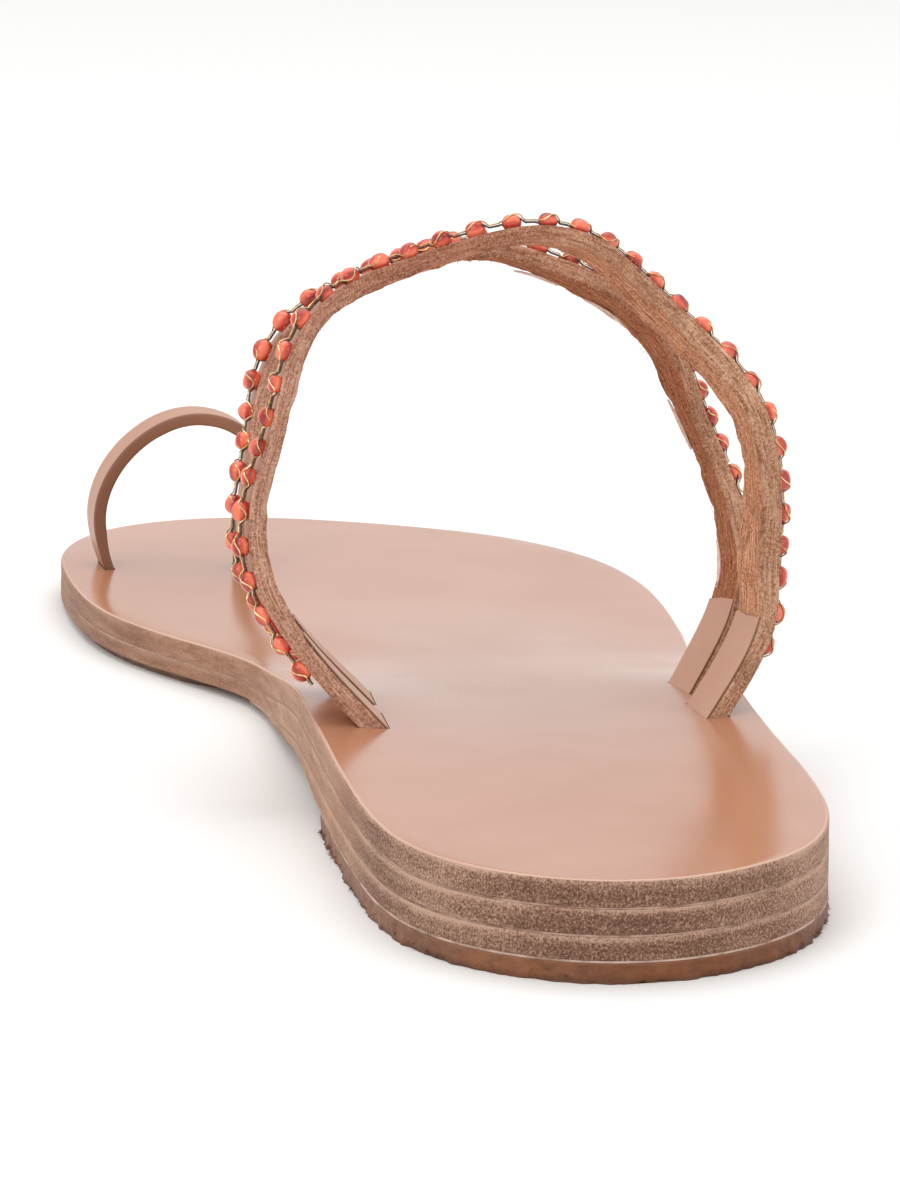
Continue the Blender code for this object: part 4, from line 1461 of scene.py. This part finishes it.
def wound_path(side, lean, out, depth):
    """A path along a bead row, slanted over each bead and beside the axis in between."""
    middles = bead_middles()
    half = 0.5 * BEAD_PITCH
    s = np.linspace(middles[0] - half, middles[-1] + half, WIRE_STEPS * len(middles) + 1)
    axis, _, away, heelward = bead_line(s, side)
    from_bead = np.min(np.abs(s[:, None] - middles), axis=1)
    bulge = np.clip(1.0 - (from_bead / BEAD_HALF_LENGTH) ** 2, 0.0, 1.0) ** WIRE_HUG
    wander = WIRE_WANDER * soft_noise(together(s, 0.0, side), WIRE_WANDER_SIZE, seed=63)
    sunk = WIRE_SUNK * soft_noise(together(s, WIRE_SUNK_PLACE, side), WIRE_SUNK_SIZE, seed=64)
    reach = depth * (BEAD_RADIUS + sunk) * bulge
    swing = WIRE_SWING * np.sin(2.0 * np.pi * (s - middles[0]) / BEAD_PITCH)
    turn = np.radians(lean + swing + wander)
    outward = reach * np.cos(turn) + out * (1.0 - bulge)
    return axis + outward[:, None] * away + (reach * np.sin(turn))[:, None] * heelward


def make_bead_rows():
    """Both strung rows with their wires."""
    for label, side, seed in (("back", BACK, 61), ("front", FRONT, 62)):
        make_beads("beads_" + label, "bead_row_" + label, side, seed)
        for look, (radius, lean, out, depth) in (("gold_wire", GOLD_WIRE), ("dark_thread", DARK_THREAD)):
            path = wound_path(side, lean, out, depth)
            settle(tube(look + "_" + label, path, radius, look), "coral_beads")


# Floor and lights in metres: each light's place, size, watts and colour
FLOOR_REACH = 6.0
SKY_STRENGTH = 0.9
LIGHT_TARGET = (0.0, 0.0, 0.03)
LIGHTS = {
    "top_light": ((0.0, 0.2, 0.9), 0.9, 3.5, (1.0, 0.99, 0.97)),
    "key_light": ((-0.65, -0.6, 0.7), 0.6, 2.4, (1.0, 0.98, 0.95)),
    "fill_light": ((0.75, -0.55, 0.4), 0.6, 0.9, (1.0, 0.98, 0.96)),
}


def make_floor():
    """Plain floor that is no part of the sandal."""
    mesh = bpy.data.meshes.new("floor")
    corners = ((-1.0, -1.0), (1.0, -1.0), (1.0, 1.0), (-1.0, 1.0))
    mesh.from_pydata([(x * FLOOR_REACH, y * FLOOR_REACH, 0.0) for x, y in corners], [], [(0, 1, 2, 3)])
    pale_floor("studio_floor", (0.86, 0.86, 0.855), (0.88, 0.88, 0.875))
    mesh.materials.append(LOOKS["studio_floor"])
    floor = add_object("floor", mesh)


def make_lights():
    """Large soft lights from above and from both sides of the camera, aimed at the sandal."""
    for name, (place, size, watts, colour) in LIGHTS.items():
        data = bpy.data.lights.new(name, "AREA")
        data.size = size
        data.energy = watts
        data.color = colour
        lamp = add_object(name, data)
        lamp.location = place
        lamp.rotation_euler = (Vector(LIGHT_TARGET) - Vector(place)).to_track_quat("-Z", "Y").to_euler()


def make_sky():
    """Even white light all around."""
    world = bpy.data.worlds.new("studio")
    world.use_nodes = True
    sky = world.node_tree.nodes["Background"]
    sky.inputs["Color"].default_value = (1.0, 1.0, 1.0, 1.0)
    sky.inputs["Strength"].default_value = SKY_STRENGTH
    bpy.context.scene.world = world
    bpy.context.scene.view_settings.view_transform = "Standard"


# Camera in the sandal's millimetres, its view direction and its focal length in pixels of a 900 by 1200 image
CAMERA_PLACE = (-151.4, -721.7, 212.4)
CAMERA_YAW = 10.08
CAMERA_PITCH = 12.58
CAMERA_ROLL = 0.78
FOCAL_PIXELS = 6240.0
IMAGE_LONG_SIDE = 1200.0
SENSOR = 36.0
FARTHEST = 50.0


def make_camera():
    """Camera behind the heel, a little above the sandal."""
    data = bpy.data.cameras.new("camera")
    data.sensor_width = SENSOR
    data.lens = FOCAL_PIXELS * SENSOR / IMAGE_LONG_SIDE
    data.clip_end = FARTHEST
    camera = add_object("camera", data)
    camera.location = [MM * (a + b) for a, b in zip(CAMERA_PLACE, SHIFT)]
    yaw = math.radians(CAMERA_YAW)
    pitch = math.radians(CAMERA_PITCH)
    ahead = Vector((math.sin(yaw) * math.cos(pitch), math.cos(yaw) * math.cos(pitch), -math.sin(pitch)))
    camera.rotation_euler = ahead.to_track_quat("-Z", "Y").to_euler()
    camera.rotation_euler.rotate_axis("Z", math.radians(CAMERA_ROLL))
    bpy.context.scene.camera = camera


make_leathers()
make_sole_looks()
make_strip_looks()
make_bead_looks()
make_insole()
make_midsole()
make_heel_lift()
make_glue_lines()
make_heel_cap()
make_tread()
make_straps()
make_fuzz()
make_slivers()
make_cap_bits()
make_linings()
make_toe_loop()
make_bead_rows()
make_floor()
make_sky()
make_lights()
make_camera()
